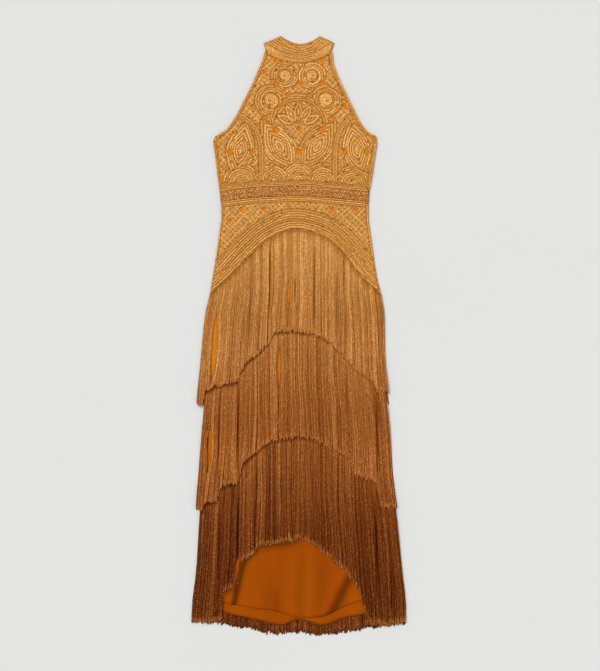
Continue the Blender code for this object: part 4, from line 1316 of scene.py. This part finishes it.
@dataclass
class Waistband:
    """The braided waistband: golden cords along both edges, rows of dark plaits between."""

    finishes: Finishes
    plaits: int = 5
    plait_swing: float = 2.3
    plait_length: float = 9.0
    strand: float = 2.1
    edge_rows: tuple[float, ...] = (0.075, 0.925)
    edge_width: float = 4.2
    back_rows: int = 6

    def reach(self, share: float, step: float) -> Array:
        """Return places across at even steps, from one side edge to the other at a share of the height."""
        left, right = (WAIST_BOTTOM[end][0] + (WAIST_TOP[end][0] - WAIST_BOTTOM[end][0]) * share
                       for end in (0, -1))
        return np.arange(left + 0.4, right - 0.2, step)

    def row(self, share: float, across: Array) -> Array:
        """Return the line at a share of the band's height, over places across."""
        low, high = line_height(WAIST_BOTTOM)(across), line_height(WAIST_TOP)(across)
        return np.column_stack([across, low + (high - low) * share])

    def dress(self) -> None:
        """Make the front with its plaits and cords, and a plainer back."""
        edges = CordWork("waistband_front_cords", self.finishes.cord, seed=51)
        plaits = CordWork("waistband_front_plaits", self.finishes.plait, seed=52, uneven=0.22)
        for share in self.edge_rows:
            edges.lay(self.row(share, self.reach(share, 4.0)), self.edge_width, 2.6, CORD_LEVEL)
        for number in range(self.plaits):
            share = 0.17 + 0.66 * (number + 0.5) / self.plaits
            across, middle = self.row(share, self.reach(share, 1.5)).T
            for strand in range(3):
                phase = 2 * math.pi * (across / self.plait_length + strand / 3 + 0.37 * number)
                phase = phase + np.sin(across / (17.0 + 5.0 * number) + strand)
                path = np.column_stack([across, middle + self.plait_swing * np.sin(phase)])
                plaits.lay(path, self.strand, 1.3, CORD_LEVEL + 0.55 + 0.5 * np.sin(2 * phase))
        sewn_on = (edges.finish("lace"), plaits.finish("band"))
        net = thin_ground("waistband_front", "waistband_front_net", self.finishes.band_ground, 0.25)
        dress_cloth(net, "band", "waistband_front")
        back = CordWork("waistband_back_cords", self.finishes.plait, face_down=True, seed=53)
        for number in range(self.back_rows):
            back.lay(self.row((number + 0.5) / self.back_rows, np.arange(-187.0, 168.0, 6.0)), 4.6, 1.2,
                     BACK_CORD_LEVEL)
        piece = back.finish("band")
        net = thin_ground("waistband_back", "waistband_back_net", self.finishes.band_ground, 0.35,
                          from_top=True)
        dress_cloth(net, "band", "waistband_back")


@dataclass(frozen=True)
class Fold:
    """One soft fold of the slip: where it stands at the hem, how wide, high and long it is."""

    across: float
    width: float
    height: float
    start: float
    lean: float = 0.0
    run: float = 110.0


@dataclass
class Slip:
    """The plain satin slip: bodice and skirt, front and back, each a thin shell."""

    finishes: Finishes
    columns: int = 160
    rows: int = 150
    thickness: float = 0.8
    # Fold height that gives full painted shade beside it, and the strength of the painted shadow under the
    # last tier's tips.
    deepest: float = 5.0
    tip_painted_shadow: float = 1.0
    shadow_run: float = 14.0
    front_folds: tuple[Fold, ...] = (
        Fold(-173.0, 8.5, 5.2, -505.0, 0.24, 60.0), Fold(-96.0, 20.0, 1.0, -540.0, 0.1),
        Fold(-60.0, 9.0, 1.3, -600.0, -0.06, 60.0), Fold(-12.0, 15.0, 1.3, -470.0, 0.02),
        Fold(30.0, 18.0, 1.3, -480.0, 0.05), Fold(66.0, 15.0, 4.4, -545.0, 0.48, 60.0),
    )
    back_folds: tuple[Fold, ...] = (
        Fold(-140.0, 24.0, 0.5, -600.0), Fold(-43.0, 30.0, 0.5, -600.0), Fold(60.0, 30.0, 0.5, -600.0),
        Fold(130.0, 26.0, 0.5, -600.0),
    )

    def skirt(self, name: str, level: float, hem_points: tuple, folds: tuple[Fold, ...]) -> bpy.types.Object:
        """Make one skirt panel on a grid of u across and v from waist to hem.

        The height runs from the waist's line to the hem's, the place across
        from the left edge to the right one, and each fold adds a bell curve
        that grows from its start towards the hem, with painted shade on its right.
        The last tier's tips add painted shadow where they shade it, mostly on the left.
        """
        left, right = edge_places(SLIP_SIDES)
        hem = line_height(smooth_line(hem_points))
        waist = line_height(WAIST_TOP)
        u, v = (a.ravel() for a in np.meshgrid(np.linspace(0, 1, self.columns), np.linspace(0, 1, self.rows)))
        y = np.full(u.shape, -100.0)
        for _ in range(6):
            x = left(y) * (1 - u) + right(y) * u
            y = (waist(x) - 4.2) * (1 - v) + hem(x) * v
        z = level + slip_rise(y)
        painted_shade = np.zeros(len(z))
        for fold in folds:
            grown = fold.height * smooth_step((fold.start - y) / fold.run)
            away = (x - fold.across - fold.lean * (y + 680.0)) / fold.width
            z = z + grown * bell(away)
            # Painted shade on the right of each fold.
            painted_shade = painted_shade + grown / self.deepest * bell(away - 1.1)
        # Painted shadow under the last tier's tips, mostly on the left.
        below = bell((line_height(FRONT_TIPS[2])(x) - y) / self.shadow_run)
        painted_shade = painted_shade + self.tip_painted_shadow * below * left_share(x, 4.0, 14.0)
        piece = self.shell(name, x, y, z)
        set_number(piece, "painted_shade", np.tile(np.clip(painted_shade, 0.0, 1.0), 2))
        return piece

    def shell(self, name: str, x: Array, y: Array, z: Array) -> bpy.types.Object:
        """Make a closed shell of a grid's points: the lower side, the upper side and the rim."""
        columns = self.columns
        count = len(x)
        points = np.vstack([np.column_stack([x, y, z]), np.column_stack([x, y, z + self.thickness])])
        grid = np.arange(count).reshape(-1, columns)
        cell = np.stack([grid[:-1, :-1], grid[:-1, 1:], grid[1:, 1:], grid[1:, :-1]], axis=2).reshape(-1, 4)
        rim = np.concatenate([grid[0, ::-1], grid[1:, 0], grid[-1, 1:], grid[-2:0:-1, -1]])
        after = np.roll(rim, -1)
        sides = np.column_stack([rim, after, after + count, rim + count])
        return new_mesh(name, points, [cell, cell[:, ::-1] + count, sides], self.finishes.satin)

    def dress(self) -> None:
        """Make the four panels."""
        for name, level, hem, folds, below in (
                ("lining_skirt_front", LINING_FRONT_LEVEL + 0.1, SLIP_FRONT_HEM, self.front_folds,
                 "lining_skirt_back"),
                ("lining_skirt_back", LINING_BACK_LEVEL + 0.1, SLIP_BACK_HEM, self.back_folds,
                 "fringe_back_3")):
            dress_cloth(self.skirt(name + "_satin", level, hem, folds), "lining", name)
        for node, below in (("lining_bodice_front", "lining_bodice_back"),
                            ("lining_bodice_back", "bodice_back_left")):
            dress_cloth(thin_ground(node, node + "_satin", self.finishes.satin, 0.8), "lining", node)


@dataclass(frozen=True)
class Parting:
    """A place where the locks of a tier stand apart, from a height down to another.

    half is half the gap's width, lean how far it moves across for each unit
    down, through whether the lowest layer parts too, and dark how much of
    the yarns' brightness is lost along it as painted shade.
    """

    across: float
    top: float
    bottom: float
    half: float
    lean: float = 0.0
    through: bool = False
    dark: float = 0.72

    def place(self, x: Array, y: Array) -> tuple[Array, Array]:
        """Return how near the parting's middle places are, from 0 at its ends to 1, and how far aside."""
        middle, reach = (self.top + self.bottom) / 2, (self.top - self.bottom) / 2
        near = np.clip(1.0 - ((y - middle) / reach) ** 2, 0.0, 1.0)
        return near, x - self.across - self.lean * (y - middle)


# Partings of the front's tiers, from the top one down, each with the strength of its painted shade
FRONT_PARTINGS = (
    (Parting(-71.0, 235.0, 60.0, 1.6), Parting(38.0, 225.0, 20.0, 1.4), Parting(-9.0, 140.0, 90.0, 1.4),
     Parting(-118.0, 150.0, -40.0, 0.8, dark=0.3), Parting(92.0, 150.0, -10.0, 0.8, dark=0.3),
     Parting(-25.0, 130.0, 72.0, 3.2, 0.12, True, 0.3), Parting(-207.0, 45.0, -108.0, 5.0, 0.03, True, 0.0)),
    (Parting(-148.0, -108.0, -345.0, 2.4, dark=0.85), Parting(192.0, -130.0, -355.0, 1.5),
     Parting(-196.0, -150.0, -360.0, 1.0, dark=0.45), Parting(118.0, -70.0, -200.0, 0.8, dark=0.35),
     Parting(-218.0, -225.0, -320.0, 4.8, -0.12, True, 0.0),
     Parting(-48.0, -30.0, -125.0, 3.6, 0.0, True, 0.2)),
    (Parting(-149.0, -375.0, -610.0, 2.6, dark=0.85), Parting(-195.0, -405.0, -610.0, 1.2, dark=0.5),
     Parting(190.0, -370.0, -655.0, 1.4), Parting(226.0, -560.0, -700.0, 1.0, dark=0.5),
     Parting(-88.0, -275.0, -370.0, 0.8, dark=0.3), Parting(96.0, -300.0, -470.0, 0.8, dark=0.3)),
)


@dataclass
class YarnRun:
    """Where the yarns of a tier run: a row for each yarn, and in share, x, y and z a column for each ring.

    u is a yarn's share of the tier's width, layer the number of its layer,
    lock what its lock was drawn with, width the tier's own, root the height
    that it hangs from, and share how far down it each ring lies.
    """

    u: Array
    layer: Array
    lock: Array
    width: float
    root: Array
    share: Array
    x: Array
    y: Array
    z: Array


@dataclass
class FringeTier:
    """One tier of fringe: twisted yarns in three layers that hang from a heading."""

    number: int
    side: Side
    finishes: Finishes
    strands: int
    sections: int
    partings: tuple[Parting, ...] = ()
    thickness: float = 1.5
    layer_levels: tuple[float, ...] = (0.8, 1.5, 2.2)
    # Deeper layers are painted darker: painted shade of the layers over them.
    layer_painted_shades: tuple[float, ...] = (0.66, 0.88, 1.06)
    ragged: float = 2.7
    lock_ragged: float = 2.4
    tip_length: float = 10.0
    tip_rise: float = 1.6
    # Painted highlight on the front's tips, and the strength of the painted shadow under the tier above and
    # under the yoke's edge.
    tip_painted_highlight: float = 1.4
    under: float = 0.86
    yoke_painted_shadow: float = 0.3
    late_gain: float = 0.22
    late: tuple[float, ...] = (50.0, -215.0, -640.0)
    edge_room: float = 1.6
    # Width of the painted shade along a parting.
    parting_width: float = 1.7
    droop: float = 1.6
    droop_more: float = 2.0
    droop_width: float = 12.0
    uneven: tuple[float, ...] = (0.12, 0.18, 0.26)
    lock_width: float = 3.4
    clump_width: float = 10.0
    climb: tuple[float, float] = (34.0, 13.0)
    back_drop: tuple[float, float] = (18.0, 48.0)
    hem_drop: tuple[float, float] = (4.0, 34.0)

    # Slow waves that neighbours share: how many across the tier, how high one is, how far it sways
    WAVES = ((4.0, 300.0, 1.3), (9.0, 210.0, 0.7), (19.0, 160.0, 0.4))
    WANDER = 0.45
    STRAYS = 0.03
    SLOTS = ("fringe_light", "fringe_mid", "fringe_dark")

    # Angles of a yarn's three-sided profile, and how many steps find a root's height
    PROFILE = np.radians([90.0, 210.0, 330.0])
    ROOT_STEPS = 14

    def __post_init__(self) -> None:
        """Take the tier's lines from the tables."""
        tier = self.number - 1
        self.name = "fringe_%s_%d" % (self.side.value, self.number)
        self.front = self.side is Side.FRONT
        self.left, self.right = edge_places(TIER_SIDES[tier])
        self.heading = line_height((FRONT_HEADINGS if self.front else BACK_HEADINGS)[tier])
        self.tips = line_height((FRONT_TIPS if self.front else BACK_TIPS)[tier])
        self.upper = line_height((ARCH, *FRONT_TIPS)[tier] if self.front else BACK_HEADINGS[tier])

    def across(self, u: Array, y: Array) -> Array:
        """Return the place across of a share of the tier's width, at a height."""
        return self.left(y) * (1 - u) + self.right(y) * u

    def sink(self, x: Array, y: Array) -> Array:
        """Return how far the front's yarns sink outside the slip's edge, more where no heading lies below."""
        left, right = edge_places(SLIP_SIDES)
        outside = np.maximum(left(y) - x, x - right(y)) - 2.0
        between = smooth_step((-215.0 - y) / 30.0) * smooth_step((y + 385.0) / 30.0)
        between = between + smooth_step((-490.0 - y) / 30.0)
        return (self.droop + self.droop_more * between) * smooth_step(outside / self.droop_width)

    def lift(self, x: Array, y: Array) -> Array:
        """Return how far a yarn stands off its tier's base as it passes headings, tips, hem and sides."""
        if not self.front:
            if self.number == 1:
                return np.zeros(x.shape)
            above = line_height(BACK_TIPS[self.number - 2])(x)
            start, end = self.back_drop
            return OVERLAP_RISE * (1.0 - smooth_step((above - start - y) / (end - start)))
        if self.number == 3:
            hem = line_height(SLIP_BACK_HEM)(x)
            gap, run = self.hem_drop
            return np.minimum(-4.0 * smooth_step((hem - gap - y) / run), -self.sink(x, y))
        crossing = line_height(FRONT_HEADINGS[self.number])(x)
        start, end = self.climb
        return OVERLAP_RISE * smooth_step((crossing + start - y) / (start - end)) - self.sink(x, y)

    def part(self, x: Array, y: Array, layer: Array) -> Array:
        """Return the places across after each parting has pushed the yarns to their own side of it."""
        for parting in self.partings:
            near, away = parting.place(x, y)
            share = near ** 0.7
            open_here = parting.half * share
            if not parting.through:
                open_here = open_here * (layer > 0)
            side = np.where((away * share).sum(axis=1, keepdims=True) < 0.0, -1.0, 1.0)
            push = open_here * bell(away / (3.5 * parting.half + 4.0))
            if parting.through:
                push = np.maximum(push, (open_here - side * away) * (share > 0.0))
            x = x + side * push
        return x

    def parting_painted_shade(self, x: Array, y: Array) -> Array:
        """Return the painted shade deep in each parting: how much darker the yarns are, a bell curve across
        it.
        """
        shade = np.ones(x.shape)
        for parting in self.partings:
            near, away = parting.place(x, y)
            shade = shade * (1.0 - parting.dark * near ** 0.4 * bell(away / self.parting_width))
        return shade

    def hang(self, draw: np.random.Generator) -> YarnRun:
        """Return where the yarns run.

        A yarn keeps its share of the tier's width from root to tip, plus
        slow waves shared with its neighbours, its own small wander, a pull
        towards its lock near the tip, and the partings.

        Args:
            draw: what the yarns are drawn from.

        Returns:
            The run of every yarn, ring by ring.
        """
        count = self.strands
        u = (np.arange(count) + draw.uniform(0.0, 1.0, count)) / count
        layer = draw.permutation(count) % 3
        root = self.heading(np.zeros(count))
        for _ in range(self.ROOT_STEPS):
            root = self.heading(self.across(u, root))
        root = root - 0.6 - draw.uniform(0.0, 1.2, count)
        width = np.mean(self.right(root) - self.left(root))
        locks = np.floor(u * width / self.lock_width)
        lock = draw.normal(0.0, 1.0, (int(locks.max()) + 1, 3))[locks.astype(int)]
        tip = self.tips(self.across(u, self.tips(np.zeros(count))))
        tip = self.tips(self.across(u, tip))
        tip = tip + np.clip(draw.normal(0.0, self.ragged, count), -5.0, 6.0)
        tip = tip + self.lock_ragged * np.clip(lock[:, 0], -1.5, 1.5)
        body = 1.0 - self.tip_length / (root - tip)[:, None]
        share = np.column_stack([np.linspace(0.0, 1.0, self.sections) ** 0.9 * body, np.ones(count)])
        y = root[:, None] + (tip - root)[:, None] * share
        x = self.across(u[:, None], y)
        for waves, height, size in self.WAVES:
            phase = draw.uniform(0.0, 2 * math.pi)
            x = x + size * share * np.sin(2 * math.pi * (waves * u[:, None] + y / height) + phase)
        own = draw.normal(0.0, self.WANDER, (count, 2))
        stray = np.where(draw.uniform(size=count) < self.STRAYS, draw.normal(0.0, 4.0, count), 0.0)
        x = x + own[:, :1] * share + own[:, 1:] * np.sin(3.0 * math.pi * share) + stray[:, None] * share ** 2
        lock_middle = (locks + 0.5) * self.lock_width / width
        pull = 0.1 + 0.15 * smooth_step((share - 0.55) / 0.45)
        x = x + (lock_middle - u)[:, None] * width * pull + 0.5 * lock[:, 1:2] * share
        x = self.part(x, y, layer[:, None])
        x = np.clip(x, self.left(y) - self.edge_room * share, self.right(y) + self.edge_room * share)
        base = slip_rise(y) + FRONT_LEVEL if self.front else np.zeros(y.shape)
        loose = 0.85 + 0.15 * smooth_step(share * 4.0)
        z = base + self.lift(x, y) + np.array(self.layer_levels)[layer][:, None] * loose + 0.22 * lock[:, 2:]
        if self.front:
            z = z + self.tip_rise * draw.uniform(0.75, 1.0, count)[:, None] * smooth_step((share - 0.9) / 0.1)
        return YarnRun(u, layer, lock, width, root, share, x, y, z)

    def spin(self, draw: np.random.Generator, run: YarnRun) -> bpy.types.Object:
        """Make the mesh: a three-sided profile carried down each yarn, closed at both ends."""
        count, rows = run.x.shape
        radius = self.thickness / 2 * (1.0 + 0.22 * smooth_step((run.share - 0.93) / 0.07))
        size = radius[:, :, None] * draw.uniform(0.82, 1.15, count)[:, None, None]
        spun_x = run.x[:, :, None] + size * np.cos(self.PROFILE)
        spun_z = np.maximum(run.z[:, :, None] + size * np.sin(self.PROFILE), 0.02)
        spun_y = np.broadcast_to(run.y[:, :, None], spun_x.shape)
        points = np.stack([spun_x, spun_y, spun_z], axis=3).reshape(-1, 3)
        ring = np.arange(3)
        after = np.roll(ring, -1)
        step = np.arange(rows - 1)[:, None] * 3
        walls = np.stack([step + ring, step + after, step + 3 + after, step + 3 + ring], axis=2)
        last = (rows - 1) * 3
        caps = np.array([[0, 2, 1], [last, last + 1, last + 2]])
        first = np.arange(count)[:, None, None] * rows * 3
        blocks = []
        for faces in (walls[:, ::2], walls[:, 1], caps):
            corners = faces.shape[-1]
            blocks.append((faces.reshape(-1, corners)[None] + first).reshape(-1, corners))
        piece = new_mesh(self.name + "_yarns", points, blocks, self.finishes.yarn, (True, False, False))
        length = np.repeat((run.root[:, None] - run.y).ravel() * MM, 3)
        set_uv(piece, np.tile(ring / 3.0, count * rows), length + np.repeat(run.u, rows * 3))
        return piece

    def tint(self, draw: np.random.Generator, run: YarnRun, piece: bpy.types.Object) -> None:
        """Give each point the numbers that the finish reads.

        Its shade is the painted shade of its layer, deeper layers darker, times
        the tone of its yarn, lock and clump, with painted shade in the partings
        and a painted highlight on the front's last ring. Its tip number is drawn
        for the last ring alone. Below and under say how far it lies under what
        covers its root, and how dark the painted shadow there is, on the left of
        the lower tiers above all.

        Args:
            draw: what the shades are drawn from.
            run: where the yarns run.
            piece: the mesh that takes the numbers.
        """
        u, x, y = run.u, run.x, run.y
        count, tier = len(u), self.number - 1
        # Painted shade: deeper layers darker.
        shade = np.array(self.layer_painted_shades)[run.layer]
        shade = shade * np.clip(draw.normal(1.0, self.uneven[tier], count), 0.4, 1.8)
        clumps = np.floor(u * run.width / self.clump_width).astype(int)
        shade = shade * (1.0 + 0.08 * run.lock[:, 2]) * draw.normal(1.0, 0.055, clumps.max() + 1)[clumps]
        shade = shade[:, None] * (1.0 + 0.03 * np.sin(2 * math.pi * (17.0 * u[:, None] + y / 400.0)))
        late = smooth_step((self.late[tier] - y) / 100.0)
        # Brighter lower down each tier, and painted shade along the partings.
        shade = shade * (1.0 + self.late_gain * late) * self.parting_painted_shade(x, y)
        # Painted shadow under the yoke's edge, and under the tier above, heavier on the left.
        under = np.full(x.shape, self.yoke_painted_shadow)
        if tier:
            under = self.under * left_share(x, 40.0, 30.0)
        last = run.share == 1.0
        tip = last * draw.uniform(0.2, 1.8, count)[:, None] * (1.0 if self.front else 0.2)
        # Painted highlight on the last ring of the front's yarns.
        if self.front:
            shade = np.where(last, self.tip_painted_highlight * draw.uniform(0.75, 1.2, count)[:, None], shade)
        for name, values in (("below", self.upper(x) - y), ("under", under), ("tip", tip), ("shade", shade)):
            set_number(piece, name, np.repeat(values.ravel(), 3))

    def dress(self) -> None:
        """Make the tier and let it stand for its node."""
        draw = np.random.default_rng(100 + 10 * self.number + (not self.front))
        run = self.hang(draw)
        piece = self.spin(draw, run)
        self.tint(draw, run, piece)
        dress_piece(piece, self.SLOTS[self.number - 1], self.name)


@dataclass
class Studio:
    """Plain pale floor, soft light from above and a camera that looks straight down."""

    floor_half: float = 4.0
    camera_place: tuple[float, float, float] = (0.00343, -0.0006, 3.6)
    frame_height: float = 1.644
    sensor: float = 36.0
    world_strength: float = 0.54
    lamp_strength: float = 2.17
    lamp_angle: float = 30.0

    def build(self) -> None:
        """Make floor, world, lights and camera."""
        half = self.floor_half / MM
        points = np.array([(-half, -half, 0.0), (half, -half, 0.0), (half, half, 0.0), (-half, half, 0.0)])
        floor = new_mesh("pale_floor", points, [np.array([[0, 1, 2, 3]])], FloorFinish().build())
        world = bpy.data.worlds.new("studio")
        world.use_nodes = True
        background = world.node_tree.nodes["Background"]
        background.inputs["Color"].default_value = (1.0, 1.0, 1.0, 1.0)
        background.inputs["Strength"].default_value = self.world_strength
        bpy.context.scene.world = world
        bpy.context.scene.view_settings.view_transform = "Standard"
        self.light((-0.42, 0.40, 1.0))
        data = bpy.data.cameras.new("camera")
        data.sensor_fit = "VERTICAL"
        data.sensor_height = self.sensor
        data.lens = self.sensor * self.camera_place[2] / self.frame_height
        camera = bpy.data.objects.new("camera", data)
        camera.location = self.camera_place
        bpy.context.collection.objects.link(camera)
        bpy.context.scene.camera = camera

    def light(self, towards: tuple[float, float, float]) -> None:
        """Add the wide soft lamp that stands in one direction from the dress."""
        data = bpy.data.lights.new("softbox", "SUN")
        data.energy = self.lamp_strength
        data.angle = math.radians(self.lamp_angle)
        lamp = bpy.data.objects.new("softbox", data)
        lamp.rotation_euler = Vector(towards).to_track_quat("Z", "Y").to_euler()
        bpy.context.collection.objects.link(lamp)


def main() -> None:
    """Set up the studio, then dress the slip, the lace, the waistband and the fringe in order."""
    logging.basicConfig(level=logging.INFO, format="%(message)s")
    Studio().build()
    finishes = Finishes()
    for part in (Slip, LaceBodice, Collar, Waistband, Yoke):
        part(finishes).dress()
    FringeTier(1, Side.BACK, finishes, 900, 7).dress()
    FringeTier(2, Side.BACK, finishes, 900, 7).dress()
    FringeTier(3, Side.BACK, finishes, 3000, 7, ragged=2.4, layer_painted_shades=(0.4, 0.62, 0.92)).dress()
    for number in (3, 2, 1):
        FringeTier(number, Side.FRONT, finishes, 2100, 10, FRONT_PARTINGS[number - 1]).dress()


if __name__ == "__main__":
    main()
